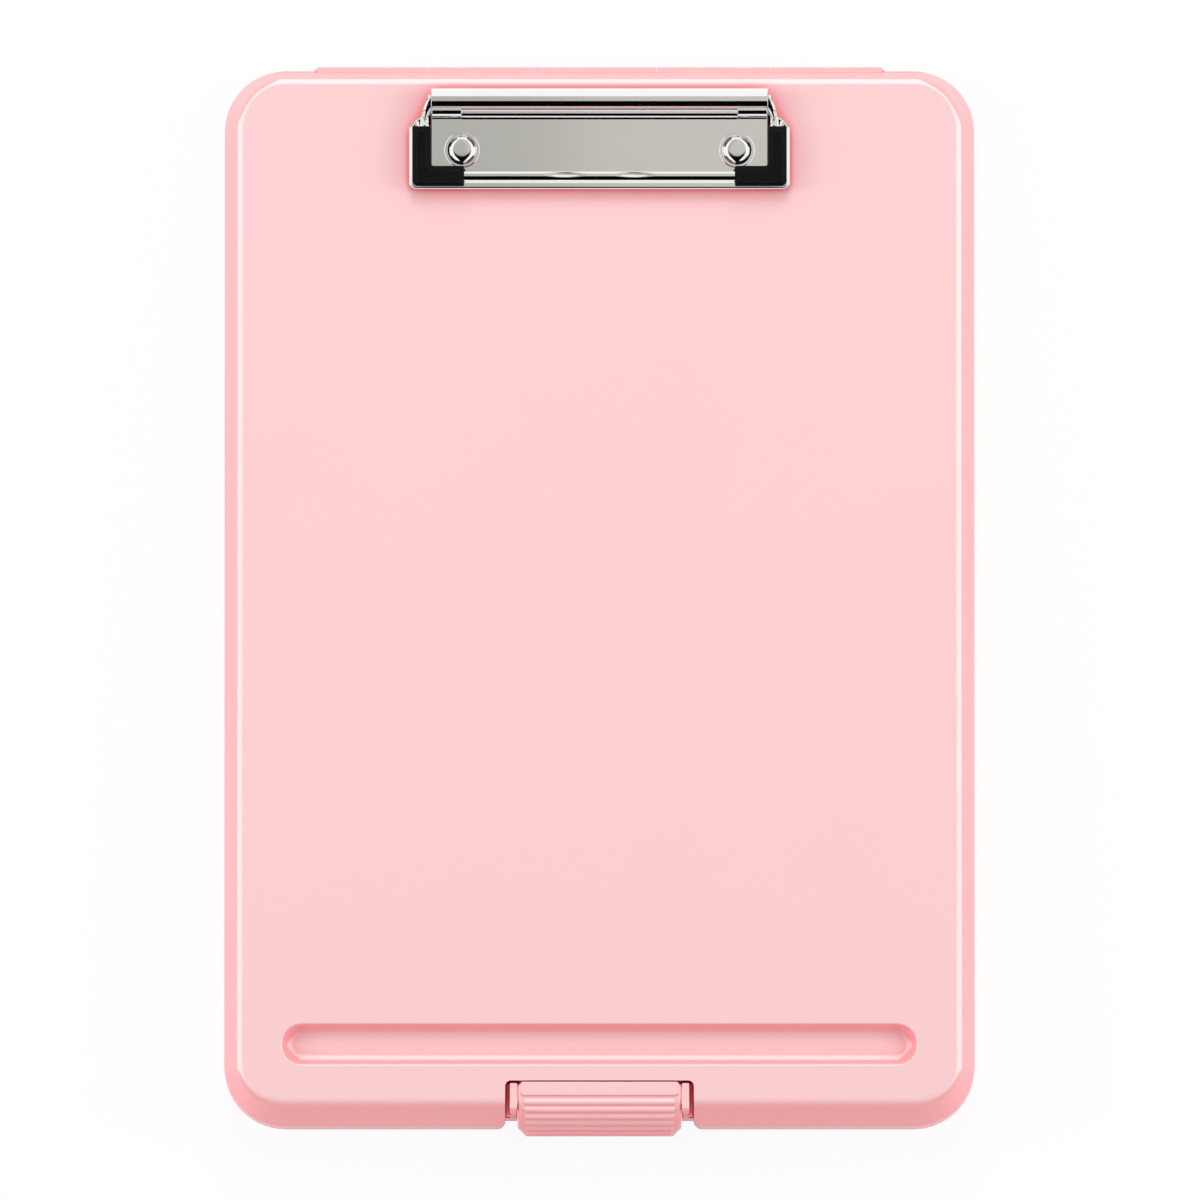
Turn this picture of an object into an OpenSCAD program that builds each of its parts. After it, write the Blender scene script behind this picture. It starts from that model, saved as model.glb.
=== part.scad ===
// Storage clipboard box: a letter-size case whose lid is the writing board.
// Origin at the centre of the underside, +X to the right, +Y to the hinge and clip, +Z up. Millimetres.

/* [Body] */
// Width of the closed case
body_w = 240; // [230:1:280]
// Length of the closed case, front wall to hinge wall
body_l = 338.5; // [325:0.5:380]
// Height of the closed case, underside to writing face
body_h = 25.4; // [23:0.2:36]
// Corner radius of the case seen from above
corner_r = 19.5; // [16:0.5:26]
// Thickness of the moulded side walls
wall_t = 2.2; // [1.8:0.1:2.8]
// Thickness of the tray floor
floor_t = 2; // [1.4:0.1:3]
// Bevel round the underside
base_bevel = 1.2; // [0.6:0.1:1.8]
// Gap between the tray rim and the lid rim
seam_gap = 0.3; // [0.2:0.05:0.5]

/* [Tray compartments] */
// Room for paper between the hinge wall and the divider
paper_l = 284; // [270:1:290]
// Thickness of the divider and of the wall behind the latch
divider_t = 1.8; // [1.2:0.1:2.6]
// Height of the divider above the tray floor
divider_h = 11.5; // [6:0.5:13]

/* [Lid] */
// Height of the lid, rim to writing face
lid_h = 9.1; // [8.4:0.1:10]
// Upright band at the bottom of the lid's side
lid_band_h = 1.6; // [1:0.1:2.2]
// Width of the sloping side, edge to flat face, on the left and right
slope_side = 6.4; // [5:0.1:8]
// The same at the hinge end
slope_hinge = 5.2; // [4.6:0.1:6.4]
// The same at the latch end
slope_front = 9; // [7.5:0.1:10]
// Width of the soft shoulder where the slope meets the face
shoulder_w = 2; // [1.4:0.1:2.6]
// Drop of that shoulder below the face
shoulder_h = 1; // [0.6:0.1:1.4]
// Corner radius of the flat face
face_r = 12.5; // [10:0.5:15]
// Thickness of the writing panel
panel_t = 2.4; // [1.8:0.1:3]
// Depth of the locating lip below the lid rim
lip_d = 1.5; // [0.8:0.1:2.5]
// Thickness of the locating lip
lip_t = 1.4; // [1:0.1:2]
// Clearance between the lip and the tray wall
lip_gap = 0.35; // [0.25:0.05:0.6]

/* [Pen groove] */
// Length of the groove
groove_l = 204; // [120:1:206]
// Width of the groove
groove_w = 14; // [10:0.5:16]
// Width of its flat floor
groove_floor_w = 5.5; // [3:0.5:8]
// Depth of the groove
groove_d = 3.2; // [2:0.1:3.8]
// Middle of the groove to the front edge
groove_in = 25.9; // [25:0.05:32]
// Thickness of the material under the groove
groove_t = 1.6; // [1.2:0.1:2.2]

/* [Hinge] */
// Length of the hinge barrel
hinge_l = 183; // [120:1:190]
// Outside diameter of the barrel
hinge_d = 5.2; // [4.4:0.1:6]
// How far the barrel stands out behind the case
hinge_out = 1.5; // [1:0.1:2]
// Diameter of the hinge rod
hinge_pin_d = 2; // [1.6:0.1:2.4]
// Knuckles along the barrel, the outer two on the tray
hinge_knuckles = 5; // [3:2:9]
// Gap between two knuckles
knuckle_gap = 0.3; // [0.2:0.05:0.6]
// Length of the tapered ends of the barrel
hinge_taper = 1.2; // [0.6:0.1:1.3]

/* [Latch] */
// Width of the latch
latch_w = 52.3; // [40:0.1:58]
// Outside radius of the latch's curved face
latch_r = 12.4; // [11.8:0.1:13]
// Length of the flat pad behind the curve
pad_l = 4.1; // [3.6:0.1:5]
// Thickness of the latch
latch_t = 2; // [1.6:0.1:2.4]
// How far the latch stands out in front of the case
latch_out = 2.5; // [1.8:0.1:2.8]
// Pad below the writing face
latch_drop = 0.1; // [0:0.05:0.4]
// Lower edge of the latch above the table
latch_bottom = 7.5; // [6:0.1:8.4]
// Finger ridges on the curve
ridge_count = 7; // [3:1:7]
// Angle from one ridge to the next
ridge_step = 11.5; // [10:0.5:12]
// Radius of a ridge
ridge_r = 0.95; // [0.6:0.05:1.1]
// Bare strip at each end of the ridges
ridge_margin = 2.9; // [1.5:0.1:5]
// Diameter of the latch pin
latch_pin_d = 2; // [1.6:0.1:2.4]
// Latch pin behind the front of the latch
latch_pin_in = 9.2; // [8.6:0.1:9.6]
// Latch pin above the table
latch_pin_z = 11; // [10.4:0.1:12]
// Gap between the latch and the ears or the lid round it
latch_gap = 0.35; // [0.25:0.05:0.5]
// Thickness of the latch's two side walls
cheek_t = 2.2; // [1.6:0.1:3]
// Wall of the hub round the latch pin
hub_t = 2; // [1.2:0.1:2.4]
// How far the ledge stops short of the curve
ledge_short = 0.2; // [0.1:0.05:0.6]
// How much lower the curve lies between the ridges
ridge_drop = 0.5; // [0.3:0.05:0.8]
// How far the latch's front corners are drawn in
latch_corner = 3.2; // [1:0.1:5]
// Thickness of the ledge that the pad hooks over
ledge_t = 2; // [1.2:0.1:3]
// Length of an ear's flat top
ear_flat_l = 8.6; // [6:0.1:9]
// Thickness of the ears that carry the latch pin
ear_t = 2.2; // [1.8:0.1:2.8]
// Gap between an ear and the side of the lid's notch
notch_gap = 1.45; // [0.8:0.05:2]
// Radius of the notch's inner corners
notch_r = 1.8; // [1:0.1:2]
// Radius of the corners at the notch's mouth, which is also how far the tray steps back there
mouth_r = 2.75; // [1.5:0.05:3]

/* [Clip plate] */
// Width of the clip over its arms
clip_w = 121.6; // [110:0.2:140]
// Pivot of the clip below the hinge edge of the case
clip_in = 13.55; // [12.8:0.05:14.5]
// Pivot of the clip above the writing face
clip_pivot_h = 2.6; // [2.5:0.05:2.9]
// Thickness of the sheet steel
sheet_t = 0.9; // [0.7:0.05:1]
// Outside radius of the rolled barrel on the plate
barrel_r = 2.35; // [2.2:0.05:2.4]
// Wall of the barrel where it covers the springs
barrel_t = 0.5; // [0.4:0.05:0.6]
// Diameter of the clip's pivot rod
clip_pin_d = 2; // [1.6:0.1:2.2]
// Length of each closed end of the barrel
barrel_end = 9.6; // [6:0.2:14]
// Distance between the rivets
rivet_span = 88; // [70:1:94]
// Rivets in front of the pivot
rivet_in = 12.4; // [11.6:0.1:12.6]
// Diameter of a rivet head
rivet_head_d = 9.5; // [8:0.1:9.6]
// Height of a rivet head
rivet_head_h = 1.6; // [1:0.1:2]
// Diameter of a rivet shank
rivet_d = 4; // [3:0.1:4.4]
// Outside diameter of the washer under the lid
washer_d = 9; // [8:0.1:11]
// Thickness of the washer
washer_t = 0.6; // [0.5:0.1:1]
// Diameter of the turned-over tail of a rivet
tail_d = 6.6; // [5.4:0.1:8]
// Height of the turned-over tail of a rivet
tail_h = 0.8; // [0.6:0.1:1.2]

/* [Clip jaw] */
// Width of each side arm
arm_w = 6.8; // [6.2:0.1:8]
// Pivot to the front edge of the jaw
jaw_l = 25.1; // [24.6:0.1:28]
// Depth of the jaw's lip, front to window
lip_l = 5.5; // [5.2:0.1:6.2]
// Underside of the arms above the writing face
arm_h = 2.2; // [2.1:0.05:2.4]
// Outside radius of the bends and corners at the jaw's front edge
bend_r = 2.3; // [1.8:0.1:2.4]
// Radius of the bead along the lip
bead_r = 1.75; // [1.2:0.05:1.8]
// Radius of the rolled finger lever
lever_r = 5; // [4.8:0.05:5.3]
// Middle of the lever's roll behind the pivot
lever_back = 2.6; // [2.4:0.05:2.8]
// Top of the lever above the pivot
lever_rise = 3.6; // [3.5:0.05:3.9]
// Width of the finger lever at its rear
lever_w = 107.8; // [90:0.2:108]
// Gap under the jaw, and round its moving edges
jaw_gap = 0.3; // [0.2:0.05:0.4]
// Length of a rubber grip along the arm
grip_l = 19.2; // [15:0.2:20]
// Length of a rubber grip along the lip
grip_w = 16.6; // [10:0.2:24]
// Width of the grip's foot along the lip
grip_foot = 6.5; // [5.6:0.1:6.8]
// Height of the grip above the arms
grip_h = 1.9; // [1.2:0.1:2.6]

/* [Springs] */
// Wire thickness of the two torsion springs
wire_d = 0.5; // [0.4:0.05:0.6]
// Full curls of each spring, to which half a curl is added
spring_turns = 8; // [4:1:12]
// Distance from one curl to the next
spring_pitch = 0.95; // [0.95:0.05:1.4]
// Clear play of the spring round its rod
spring_play = 0.13; // [0.08:0.01:0.2]
// Length of a spring's straight legs
spring_leg = 3.2; // [2:0.1:3.6]
// Distance of each spring's inner end from the middle
spring_x = 26; // [10:0.5:30]

/* [Fits] */
// Radial clearance of rods in their bores
pin_fit = 0.05; // [0.02:0.01:0.1]

/* [Hidden] */
$fn = 64;

pink = "#fbd0d1";
chrome = "#c8c8c6";
steel = "#9a9da0";
rubber = "#1a1a1a";
far = 500;
eps = 0.01;

// Case levels and edges
base_h = body_h - lid_h - seam_gap;
lid_z = base_h + seam_gap;
front_y = -body_l / 2;
back_y = body_l / 2;
panel_z = body_h - panel_t;
divider_y = back_y - wall_t - paper_l;

// Lid slope: its width on each side once the shoulder is taken off
slope_z = body_h - shoulder_h;
face_w = body_w - 2 * slope_side;
face_front = front_y + slope_front;
face_back = back_y - slope_hinge;
cavity_in = wall_t + lip_gap + lip_t;
cavity_slope = slope_side - shoulder_w;

// Hinge
hinge_y = back_y + hinge_out - hinge_d / 2;
hinge_z = base_h + seam_gap / 2;
hinge_step = hinge_l / hinge_knuckles;
hinge_end_t = 1.5;
relief_x = body_w / 2 - corner_r + 1;
relief_run = 8;

// Latch
latch_front = front_y - latch_out;
latch_y = latch_front + latch_r;
latch_top = body_h - latch_drop;
latch_cz = latch_top - latch_r;
latch_pin_y = latch_front + latch_pin_in;
latch_in_r = latch_r - latch_t;
pad_back = latch_y + pad_l;
notch_back = pad_back + latch_gap;
ear_in = latch_w / 2 + latch_gap;
ear_out = ear_in + ear_t;
notch_half = ear_out + notch_gap;
notch_wall = divider_t;
block_half = notch_half + notch_wall;
pocket_back = notch_back - latch_gap * 2;
ear_top = latch_top - latch_gap;
ear_front = front_y + mouth_r;
hub_r = latch_pin_d / 2 + hub_t;
ledge_top = latch_cz + latch_in_r - latch_gap - 0.15;
ledge_l = pad_l - ledge_short;

// Clip
clip_y = back_y - clip_in;
clip_z = body_h + clip_pivot_h;
window_x = clip_w / 2 - arm_w;
plate_half = window_x - jaw_gap - 0.2;
plate_top = body_h + sheet_t;
barrel_bore_r = barrel_r - barrel_t;
jaw_front = clip_y - jaw_l;
jaw_window = jaw_front + lip_l;
arm_z = body_h + arm_h;
arm_top = arm_z + sheet_t;
rivet_y = clip_y - rivet_in;
cheek_x = window_x;
cheek_w = sheet_t;
lever_cy = clip_y + lever_back;
lever_cz = clip_z + lever_rise - lever_r;
lever_front_a = 107.5;
lever_back_a = 33;
grip_x = clip_w / 2 - sheet_t;
grip_inner = window_x - 1;
grip_front = jaw_front + sheet_t;
grip_web_z = plate_top + jaw_gap;
grip_top = arm_top + grip_h;
coil_r = clip_pin_d / 2 + spring_play + wire_d / 2;

// ---- helpers ----

// Points along an arc about c
function arc(c, r, a0, a1, n) = [for (i = [0 : n]) let (a = a0 + (a1 - a0) * i / n)
    [c[0] + r * cos(a), c[1] + r * sin(a)]];

// Outline of a strip of sheet bent round c
function bent(c, r, t, a0, a1, n) = concat(arc(c, r, a0, a1, n), arc(c, r - t, a1, a0, n));

// Rectangle with round corners
module round_rect(x, y, r) {
    square([x - 2 * r, y], center = true);
    square([x, y - 2 * r], center = true);
    for (sx = [-1, 1], sy = [-1, 1])
        translate([sx * (x / 2 - r), sy * (y / 2 - r)]) circle(r);
}

// Slab that widens by g on every side over its height
module flared_slab(x, y, r, g, h) {
    rotate([90, 0, 0]) linear_extrude(y - 2 * r, center = true)
        polygon([[-x / 2 + g, 0], [x / 2 - g, 0], [x / 2, h], [-x / 2, h]]);
    rotate([90, 0, 90]) linear_extrude(x - 2 * r, center = true)
        polygon([[-y / 2 + g, 0], [y / 2 - g, 0], [y / 2, h], [-y / 2, h]]);
    for (sx = [-1, 1], sy = [-1, 1])
        translate([sx * (x / 2 - r), sy * (y / 2 - r)]) cylinder(r1 = r - g, r2 = r, h = h);
}

// Four thin discs, at the corners of a rectangle given by half width, front and back
module corner_discs(half, front, back, r, z) {
    for (sx = [-1, 1], y = [front + r, back - r])
        translate([sx * (half - r), y, z]) cylinder(r = r, h = eps, $fn = 32);
}

// Rod or bore along X
module rod_x(x0, x1, r) {
    translate([x0, 0, 0]) rotate([0, 90, 0]) cylinder(r = r, h = x1 - x0);
}

// A profile drawn in Y and Z, extruded along X
module along_x(x0, x1) {
    translate([x0, 0, 0]) rotate([90, 0, 90]) linear_extrude(x1 - x0) children();
}

module both_sides() {
    for (s = [0, 1]) mirror([s, 0, 0]) children();
}

// Plan of a notch in the front edge, from its rounded mouth to inner corners of radius r
function notch_plan(back, r) = concat(
    [[-notch_half - mouth_r, front_y - 1]],
    arc([-notch_half - mouth_r, front_y + mouth_r], mouth_r, -90, 0, 8),
    r > 0 ? arc([-notch_half + r, back - r], r, 180, 90, 6) : [],
    r > 0 ? arc([notch_half - r, back - r], r, 90, 0, 6) : [],
    arc([notch_half + mouth_r, front_y + mouth_r], mouth_r, 180, 270, 8),
    [[notch_half + mouth_r, front_y - 1]]
);

// ---- hinge ----

module hinge_axis() {
    translate([0, hinge_y, hinge_z]) children();
}

// Knuckles number first, first + 2 and so on, each longer by grow at both ends
module knuckles(first, r, grow) {
    for (i = [first : 2 : hinge_knuckles - 1])
        rod_x(-hinge_l / 2 + i * hinge_step + knuckle_gap / 2 - grow,
            -hinge_l / 2 + (i + 1) * hinge_step - knuckle_gap / 2 + grow, r);
}

// Tray knuckles: the barrel's two ends taper to the case
module tray_knuckles() {
    difference() {
        knuckles(0, hinge_d / 2, 0);
        both_sides() rod_x(hinge_l / 2 - hinge_taper, hinge_l, hinge_d);
    }
    both_sides() translate([hinge_l / 2 - hinge_taper, 0, 0]) rotate([0, 90, 0])
        cylinder(r1 = hinge_d / 2, r2 = hinge_d / 2 - hinge_taper, h = hinge_taper);
}

// Bore for the rod
module hinge_bore() {
    rod_x(-hinge_l, hinge_l, hinge_pin_d / 2 + pin_fit);
}

// Room beyond the barrel for the lid's rear edge to turn past the tray, run out round the corners
module hinge_relief() {
    both_sides() {
        rod_x(hinge_l / 2 - eps, relief_x, hinge_d / 2 + knuckle_gap);
        translate([relief_x, 0, 0]) rotate([0, 90, 0])
            cylinder(r1 = hinge_d / 2 + knuckle_gap, r2 = knuckle_gap, h = relief_run);
    }
}

module hinge_pin() {
    color(steel) hinge_axis()
        rod_x(-hinge_l / 2 + hinge_end_t, hinge_l / 2 - hinge_end_t, hinge_pin_d / 2);
}

// ---- tray ----

module tray_outside() {
    flared_slab(body_w, body_l, corner_r, base_bevel, base_bevel);
    translate([0, 0, base_bevel]) linear_extrude(base_h - base_bevel)
        round_rect(body_w, body_l, corner_r);
}

module tray_inside() {
    difference() {
        translate([0, 0, floor_t]) linear_extrude(body_h)
            round_rect(body_w - 2 * wall_t, body_l - 2 * wall_t, corner_r - wall_t);
        // divider between the paper and the pens
        translate([-body_w / 2, divider_y - divider_t, 0]) cube([body_w, divider_t, floor_t + divider_h]);
        // block that is hollowed into the latch pocket
        translate([-block_half, front_y - 1, 0])
            cube([2 * block_half, pocket_back + divider_t - front_y + 1, base_h]);
    }
}

// Upper half of an ear, standing through the lid's notch
module ear() {
    along_x(ear_in, ear_out) polygon([
        [pocket_back + eps, base_h - 1], [pocket_back, ear_top], [pocket_back - ear_flat_l, ear_top],
        [ear_front, base_h + 1], [ear_front, base_h - 1]
    ]);
}

module base_tray() {
    color(pink) difference() {
        union() {
            difference() {
                tray_outside();
                tray_inside();
            }
            both_sides() ear();
            hinge_axis() tray_knuckles();
        }
        // pocket that the latch swings in, open to the front and below
        translate([-ear_in, front_y - far, -1]) cube([2 * ear_in, pocket_back - front_y + far, body_h + 2]);
        // step back of the front wall beside the latch
        translate([0, 0, -1]) linear_extrude(base_h + 2) polygon(notch_plan(ear_front, 0));
        translate([0, latch_pin_y, latch_pin_z]) rod_x(-ear_out, ear_out, latch_pin_d / 2 + pin_fit);
        hinge_axis() knuckles(1, hinge_d / 2 + knuckle_gap, knuckle_gap);
        hinge_axis() hinge_bore();
    }
}

// ---- latch ----

// Section of the shell: pad, curve and upright lower edge
module latch_section() {
    polygon(concat(
        [[pad_back, latch_top - ridge_drop], [pad_back, latch_cz + latch_in_r]],
        arc([latch_y, latch_cz], latch_in_r, 90, 180, 24),
        [[latch_y - latch_in_r, latch_bottom], [latch_y - latch_r + ridge_drop, latch_bottom]],
        arc([latch_y, latch_cz], latch_r - ridge_drop, 180, 90, 24)
    ));
}
// Side wall of the latch, from the shell to the hub round its pin
module latch_cheek_section() {
    difference() {
        union() {
            translate([latch_y, latch_cz]) intersection() {
                circle(latch_in_r + latch_t / 2);
                translate([-latch_r, 0]) square([latch_r - latch_gap, latch_r]);
            }
            translate([latch_y - latch_in_r - latch_t / 2, latch_bottom + 1])
                square([latch_pin_in - latch_t / 2, latch_cz - latch_bottom]);
            translate([latch_pin_y, latch_pin_z]) circle(hub_r);
        }
        translate([latch_pin_y, latch_pin_z]) circle(latch_pin_d / 2 + pin_fit);
    }
}

// Plan of the latch: front corners drawn in
module latch_plan() {
    half = latch_w / 2;
    c = latch_corner;
    polygon([
        [-half + 1, pad_back], [-half, pad_back - 1], [-half, latch_front + c], [-half + c, latch_front],
        [half - c, latch_front], [half, latch_front + c], [half, pad_back - 1], [half - 1, pad_back]
    ]);
}

module latch() {
    color(pink) intersection() {
        union() {
            along_x(-latch_w / 2, latch_w / 2) latch_section();
            both_sides() along_x(latch_w / 2 - cheek_t, latch_w / 2) latch_cheek_section();
            // flat pad stands a little above the ridged curve
            translate([-latch_w / 2 + 1, latch_y - 0.5, latch_top - ridge_drop - eps])
                cube([latch_w - 2, pad_l + 0.5 - eps, ridge_drop + eps]);
            for (i = [0 : ridge_count - 1]) let (a = 90 + ridge_step * (i + 1))
                translate([0, latch_y + (latch_r - ridge_r) * cos(a), latch_cz + (latch_r - ridge_r) * sin(a)])
                    rod_x(-latch_w / 2 + ridge_margin, latch_w / 2 - ridge_margin, ridge_r);
        }
        linear_extrude(body_h + 1) latch_plan();
    }
}

module latch_pin() {
    color(steel) translate([0, latch_pin_y, latch_pin_z])
        rod_x(-ear_out + 0.5, ear_out - 0.5, latch_pin_d / 2);
}

// ---- lid ----

module lid_outside() {
    translate([0, 0, lid_z]) linear_extrude(lid_band_h) round_rect(body_w, body_l, corner_r);
    hull() {
        corner_discs(body_w / 2, front_y, back_y, corner_r, lid_z + lid_band_h - eps);
        corner_discs(face_w / 2 + shoulder_w, face_front - shoulder_w, face_back + shoulder_w,
            face_r + shoulder_w, slope_z - eps);
    }
    hull() {
        corner_discs(face_w / 2 + shoulder_w, face_front - shoulder_w, face_back + shoulder_w,
            face_r + shoulder_w, slope_z - 2 * eps);
        corner_discs(face_w / 2, face_front, face_back, face_r, body_h - eps);
    }
}

module lid_inside() {
    difference() {
        union() {
            translate([0, 0, lid_z - 1]) linear_extrude(lid_band_h + 1)
                round_rect(body_w - 2 * cavity_in, body_l - 2 * cavity_in, corner_r - cavity_in);
            translate([0, 0, panel_z]) mirror([0, 0, 1]) flared_slab(body_w - 2 * cavity_in,
                body_l - 2 * cavity_in, corner_r - cavity_in, cavity_slope, panel_z - lid_z - lid_band_h);
        }
        // walls round the notch for the latch
        translate([-block_half, front_y, 0]) cube([2 * block_half, notch_back + notch_wall - front_y, far]);
        // trough that holds the pen groove
        translate([0, front_y + groove_in, body_h - groove_d - groove_t]) linear_extrude(far)
            round_rect(groove_l + groove_t, groove_w + groove_t, (groove_w + groove_t) / 2 - eps);
    }
}

// Tapered trough with round ends
module groove_cut() {
    r0 = groove_floor_w / 2;
    r1 = groove_w / 2;
    span = groove_l - groove_w;
    translate([0, front_y + groove_in, body_h - groove_d]) {
        rotate([90, 0, 90]) linear_extrude(span, center = true)
            polygon([[-r0, 0], [r0, 0], [r1, groove_d], [r1, groove_d + 1], [-r1, groove_d + 1], [-r1, groove_d]]);
        for (sx = [-1, 1]) translate([sx * span / 2, 0, 0]) {
            cylinder(r1 = r0, r2 = r1, h = groove_d);
            translate([0, 0, groove_d]) cylinder(r = r1, h = 1);
        }
    }
}

// Lip that drops inside the tray wall and locates the lid
module locating_lip() {
    in = wall_t + lip_gap;
    translate([0, 0, lid_z - lip_d]) linear_extrude(lip_d + lid_band_h / 2) difference() {
        round_rect(body_w - 2 * in, body_l - 2 * in, corner_r - in);
        round_rect(body_w - 2 * cavity_in, body_l - 2 * cavity_in, corner_r - cavity_in);
        // clear of the tray's block round the latch
        translate([-block_half - lip_gap, front_y - 1]) square([2 * (block_half + lip_gap), corner_r]);
    }
}

module lid() {
    color(pink) {
        difference() {
            union() {
                difference() {
                    lid_outside();
                    lid_inside();
                }
                locating_lip();
                hinge_axis() knuckles(1, hinge_d / 2, 0);
            }
            // notch for the latch and its ears
            translate([0, 0, lid_z - lip_d - 1]) linear_extrude(far)
                polygon(notch_plan(notch_back, notch_r));
            groove_cut();
            for (s = [-1, 1]) translate([s * rivet_span / 2, rivet_y, panel_z - 1])
                cylinder(d = rivet_d + 2 * pin_fit, h = panel_t + 2);
            hinge_axis() knuckles(0, hinge_d / 2 + knuckle_gap, knuckle_gap);
            hinge_axis() hinge_relief();
            hinge_axis() hinge_bore();
        }
        // ledge that the latch's pad hooks over
        translate([-latch_w / 2 + cheek_t + latch_gap, notch_back - latch_gap - ledge_l, ledge_top - ledge_t])
            cube([latch_w - 2 * cheek_t - 2 * latch_gap, ledge_l + latch_gap + notch_wall / 2, ledge_t]);
    }
}

// ---- clip: fixed plate, rivets, washers, rod and springs ----

module clip_axis() {
    translate([0, clip_y, clip_z]) children();
}

module clip_plate() {
    foot_y = jaw_window - 0.4;
    side_y = grip_front + grip_foot - 1 + jaw_gap;
    tab_x = clip_w / 2 - grip_w - sheet_t - jaw_gap;
    color(chrome) difference() {
        union() {
            translate([0, 0, body_h]) linear_extrude(sheet_t) polygon([
                [-tab_x, foot_y], [tab_x, foot_y], [tab_x, side_y], [plate_half, side_y],
                [plate_half, clip_y + 1], [spring_x + 12, clip_y + 1], [spring_x + 10, clip_y + 4],
                [-spring_x - 10, clip_y + 4], [-spring_x - 12, clip_y + 1],
                [-plate_half, clip_y + 1], [-plate_half, side_y], [-tab_x, side_y]
            ]);
            clip_axis() intersection() {
                rod_x(-plate_half, plate_half, barrel_r);
                translate([-far / 2, -far / 2, -clip_pivot_h + eps]) cube([far, far, far]);
            }
        }
        clip_axis() rod_x(-far, far, clip_pin_d / 2 + pin_fit);
        // room for the springs, open to the rear
        clip_axis() rod_x(-plate_half + barrel_end, plate_half - barrel_end, barrel_bore_r);
        clip_axis() translate([-plate_half + barrel_end, 0.8, -clip_pivot_h + sheet_t])
            cube([2 * (plate_half - barrel_end), barrel_r, 2 * barrel_r]);
        for (s = [-1, 1]) translate([s * rivet_span / 2, rivet_y, body_h - 1])
            cylinder(d = rivet_d + 2 * pin_fit, h = sheet_t + 2);
    }
}

// Domed head, shank and turned-over tail
module rivet() {
    head_r = rivet_head_d / 2;
    dome_r = (head_r * head_r + rivet_head_h * rivet_head_h) / (2 * rivet_head_h);
    rotate_extrude() polygon(concat(
        [[0, plate_top]], [[head_r, plate_top]],
        [for (i = [1 : 10]) let (a = asin(head_r / dome_r) * (1 - i / 10))
            [dome_r * sin(a), plate_top + rivet_head_h - dome_r * (1 - cos(a))]]
    ));
    translate([0, 0, panel_z - washer_t - tail_h + eps])
        cylinder(d = rivet_d, h = plate_top + eps * 2 - panel_z + washer_t + tail_h);
    translate([0, 0, panel_z - washer_t - tail_h]) cylinder(d = tail_d, h = tail_h);
}

module clip_rivets() {
    color(chrome) for (s = [-1, 1]) translate([s * rivet_span / 2, rivet_y, 0]) rivet();
}

module rivet_washers() {
    color(steel) for (s = [-1, 1]) translate([s * rivet_span / 2, rivet_y, panel_z - washer_t])
        difference() {
            cylinder(d = washer_d, h = washer_t);
            translate([0, 0, -1]) cylinder(d = rivet_d + 2 * pin_fit, h = washer_t + 2);
        }
}

module clip_pivot_pin() {
    color(steel) clip_axis()
        rod_x(-cheek_x - cheek_w - 0.4, cheek_x + cheek_w + 0.4, clip_pin_d / 2);
}

// Centre line of a torsion spring: leg, curls, leg
spring_rings = 8;
spring_steps = spring_rings * spring_turns + spring_rings / 2;
spring_path = concat(
    [[0, spring_leg, -coil_r], [0, spring_leg / 2, -coil_r]],
    [for (i = [0 : spring_steps]) let (a = -90 - 360 * i / spring_rings)
        [spring_pitch * i / spring_rings, coil_r * cos(a), coil_r * sin(a)]],
    [for (k = [1, 2]) [spring_pitch * spring_steps / spring_rings, spring_leg * k / 2, coil_r]]
);
spring_own_gap = min([for (i = [0 : len(spring_path) - 1], j = [i + spring_rings - 2 : 1 : len(spring_path) - 1])
    norm(spring_path[i] - spring_path[j])]) - wire_d;
echo(least_gap_between_curls_mm = spring_own_gap);

function unit(v) = v / norm(v);

// One tube of six sides swept along the spring's centre line
module spring() {
    n = len(spring_path);
    sides = 6;
    rings = [for (i = [0 : n - 1]) let (
            t = unit(spring_path[min(i + 1, n - 1)] - spring_path[max(i - 1, 0)]),
            u = unit(cross(t, [1, 0, 0])), v = cross(u, t))
        for (k = [0 : sides - 1]) spring_path[i] + wire_d / 2 * (cos(360 * k / sides) * u + sin(360 * k / sides) * v)];
    walls = [for (i = [0 : n - 2], k = [0 : sides - 1]) let (a = i * sides + k, b = i * sides + (k + 1) % sides)
        each [[a, b, b + sides], [a, b + sides, a + sides]]];
    caps = [for (k = [1 : sides - 2]) each [[0, k + 1, k], [(n - 1) * sides, (n - 1) * sides + k, (n - 1) * sides + k + 1]]];
    polyhedron(points = rings, faces = concat(walls, caps));
}

module clip_spring_left() {
    color(steel) clip_axis() mirror([1, 0, 0]) translate([spring_x, 0, 0]) spring();
}

module clip_spring_right() {
    color(steel) clip_axis() translate([spring_x, 0, 0]) spring();
}

// ---- clip: swinging jaw and its rubber grips ----

// Plan of the flat frame: arms, shoulders and lip, with the window left open
module jaw_plan() {
    half = clip_w / 2;
    shoulder_y = clip_y - 4.4;
    bend_y = jaw_front + bend_r;
    both_sides() polygon([
        [window_x, clip_y + 1.8], [window_x + 2.7, clip_y + 1.6], [window_x + 3.5, clip_y - 1.8],
        [half - 0.4, shoulder_y + 0.2], [half, shoulder_y - 0.6], [half, bend_y], [0, bend_y],
        [0, jaw_window], [window_x, jaw_window]
    ]);
}

// Plan of the whole jaw, front corners rounded, used to trim the bent edges
module jaw_trim() {
    half = clip_w / 2;
    r = bend_r;
    polygon(concat(
        [[half, clip_y + 10], [-half, clip_y + 10]],
        arc([-half + r, jaw_front + r], r, 180, 270, 8),
        arc([half - r, jaw_front + r], r, 270, 360, 8)
    ));
}

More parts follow.
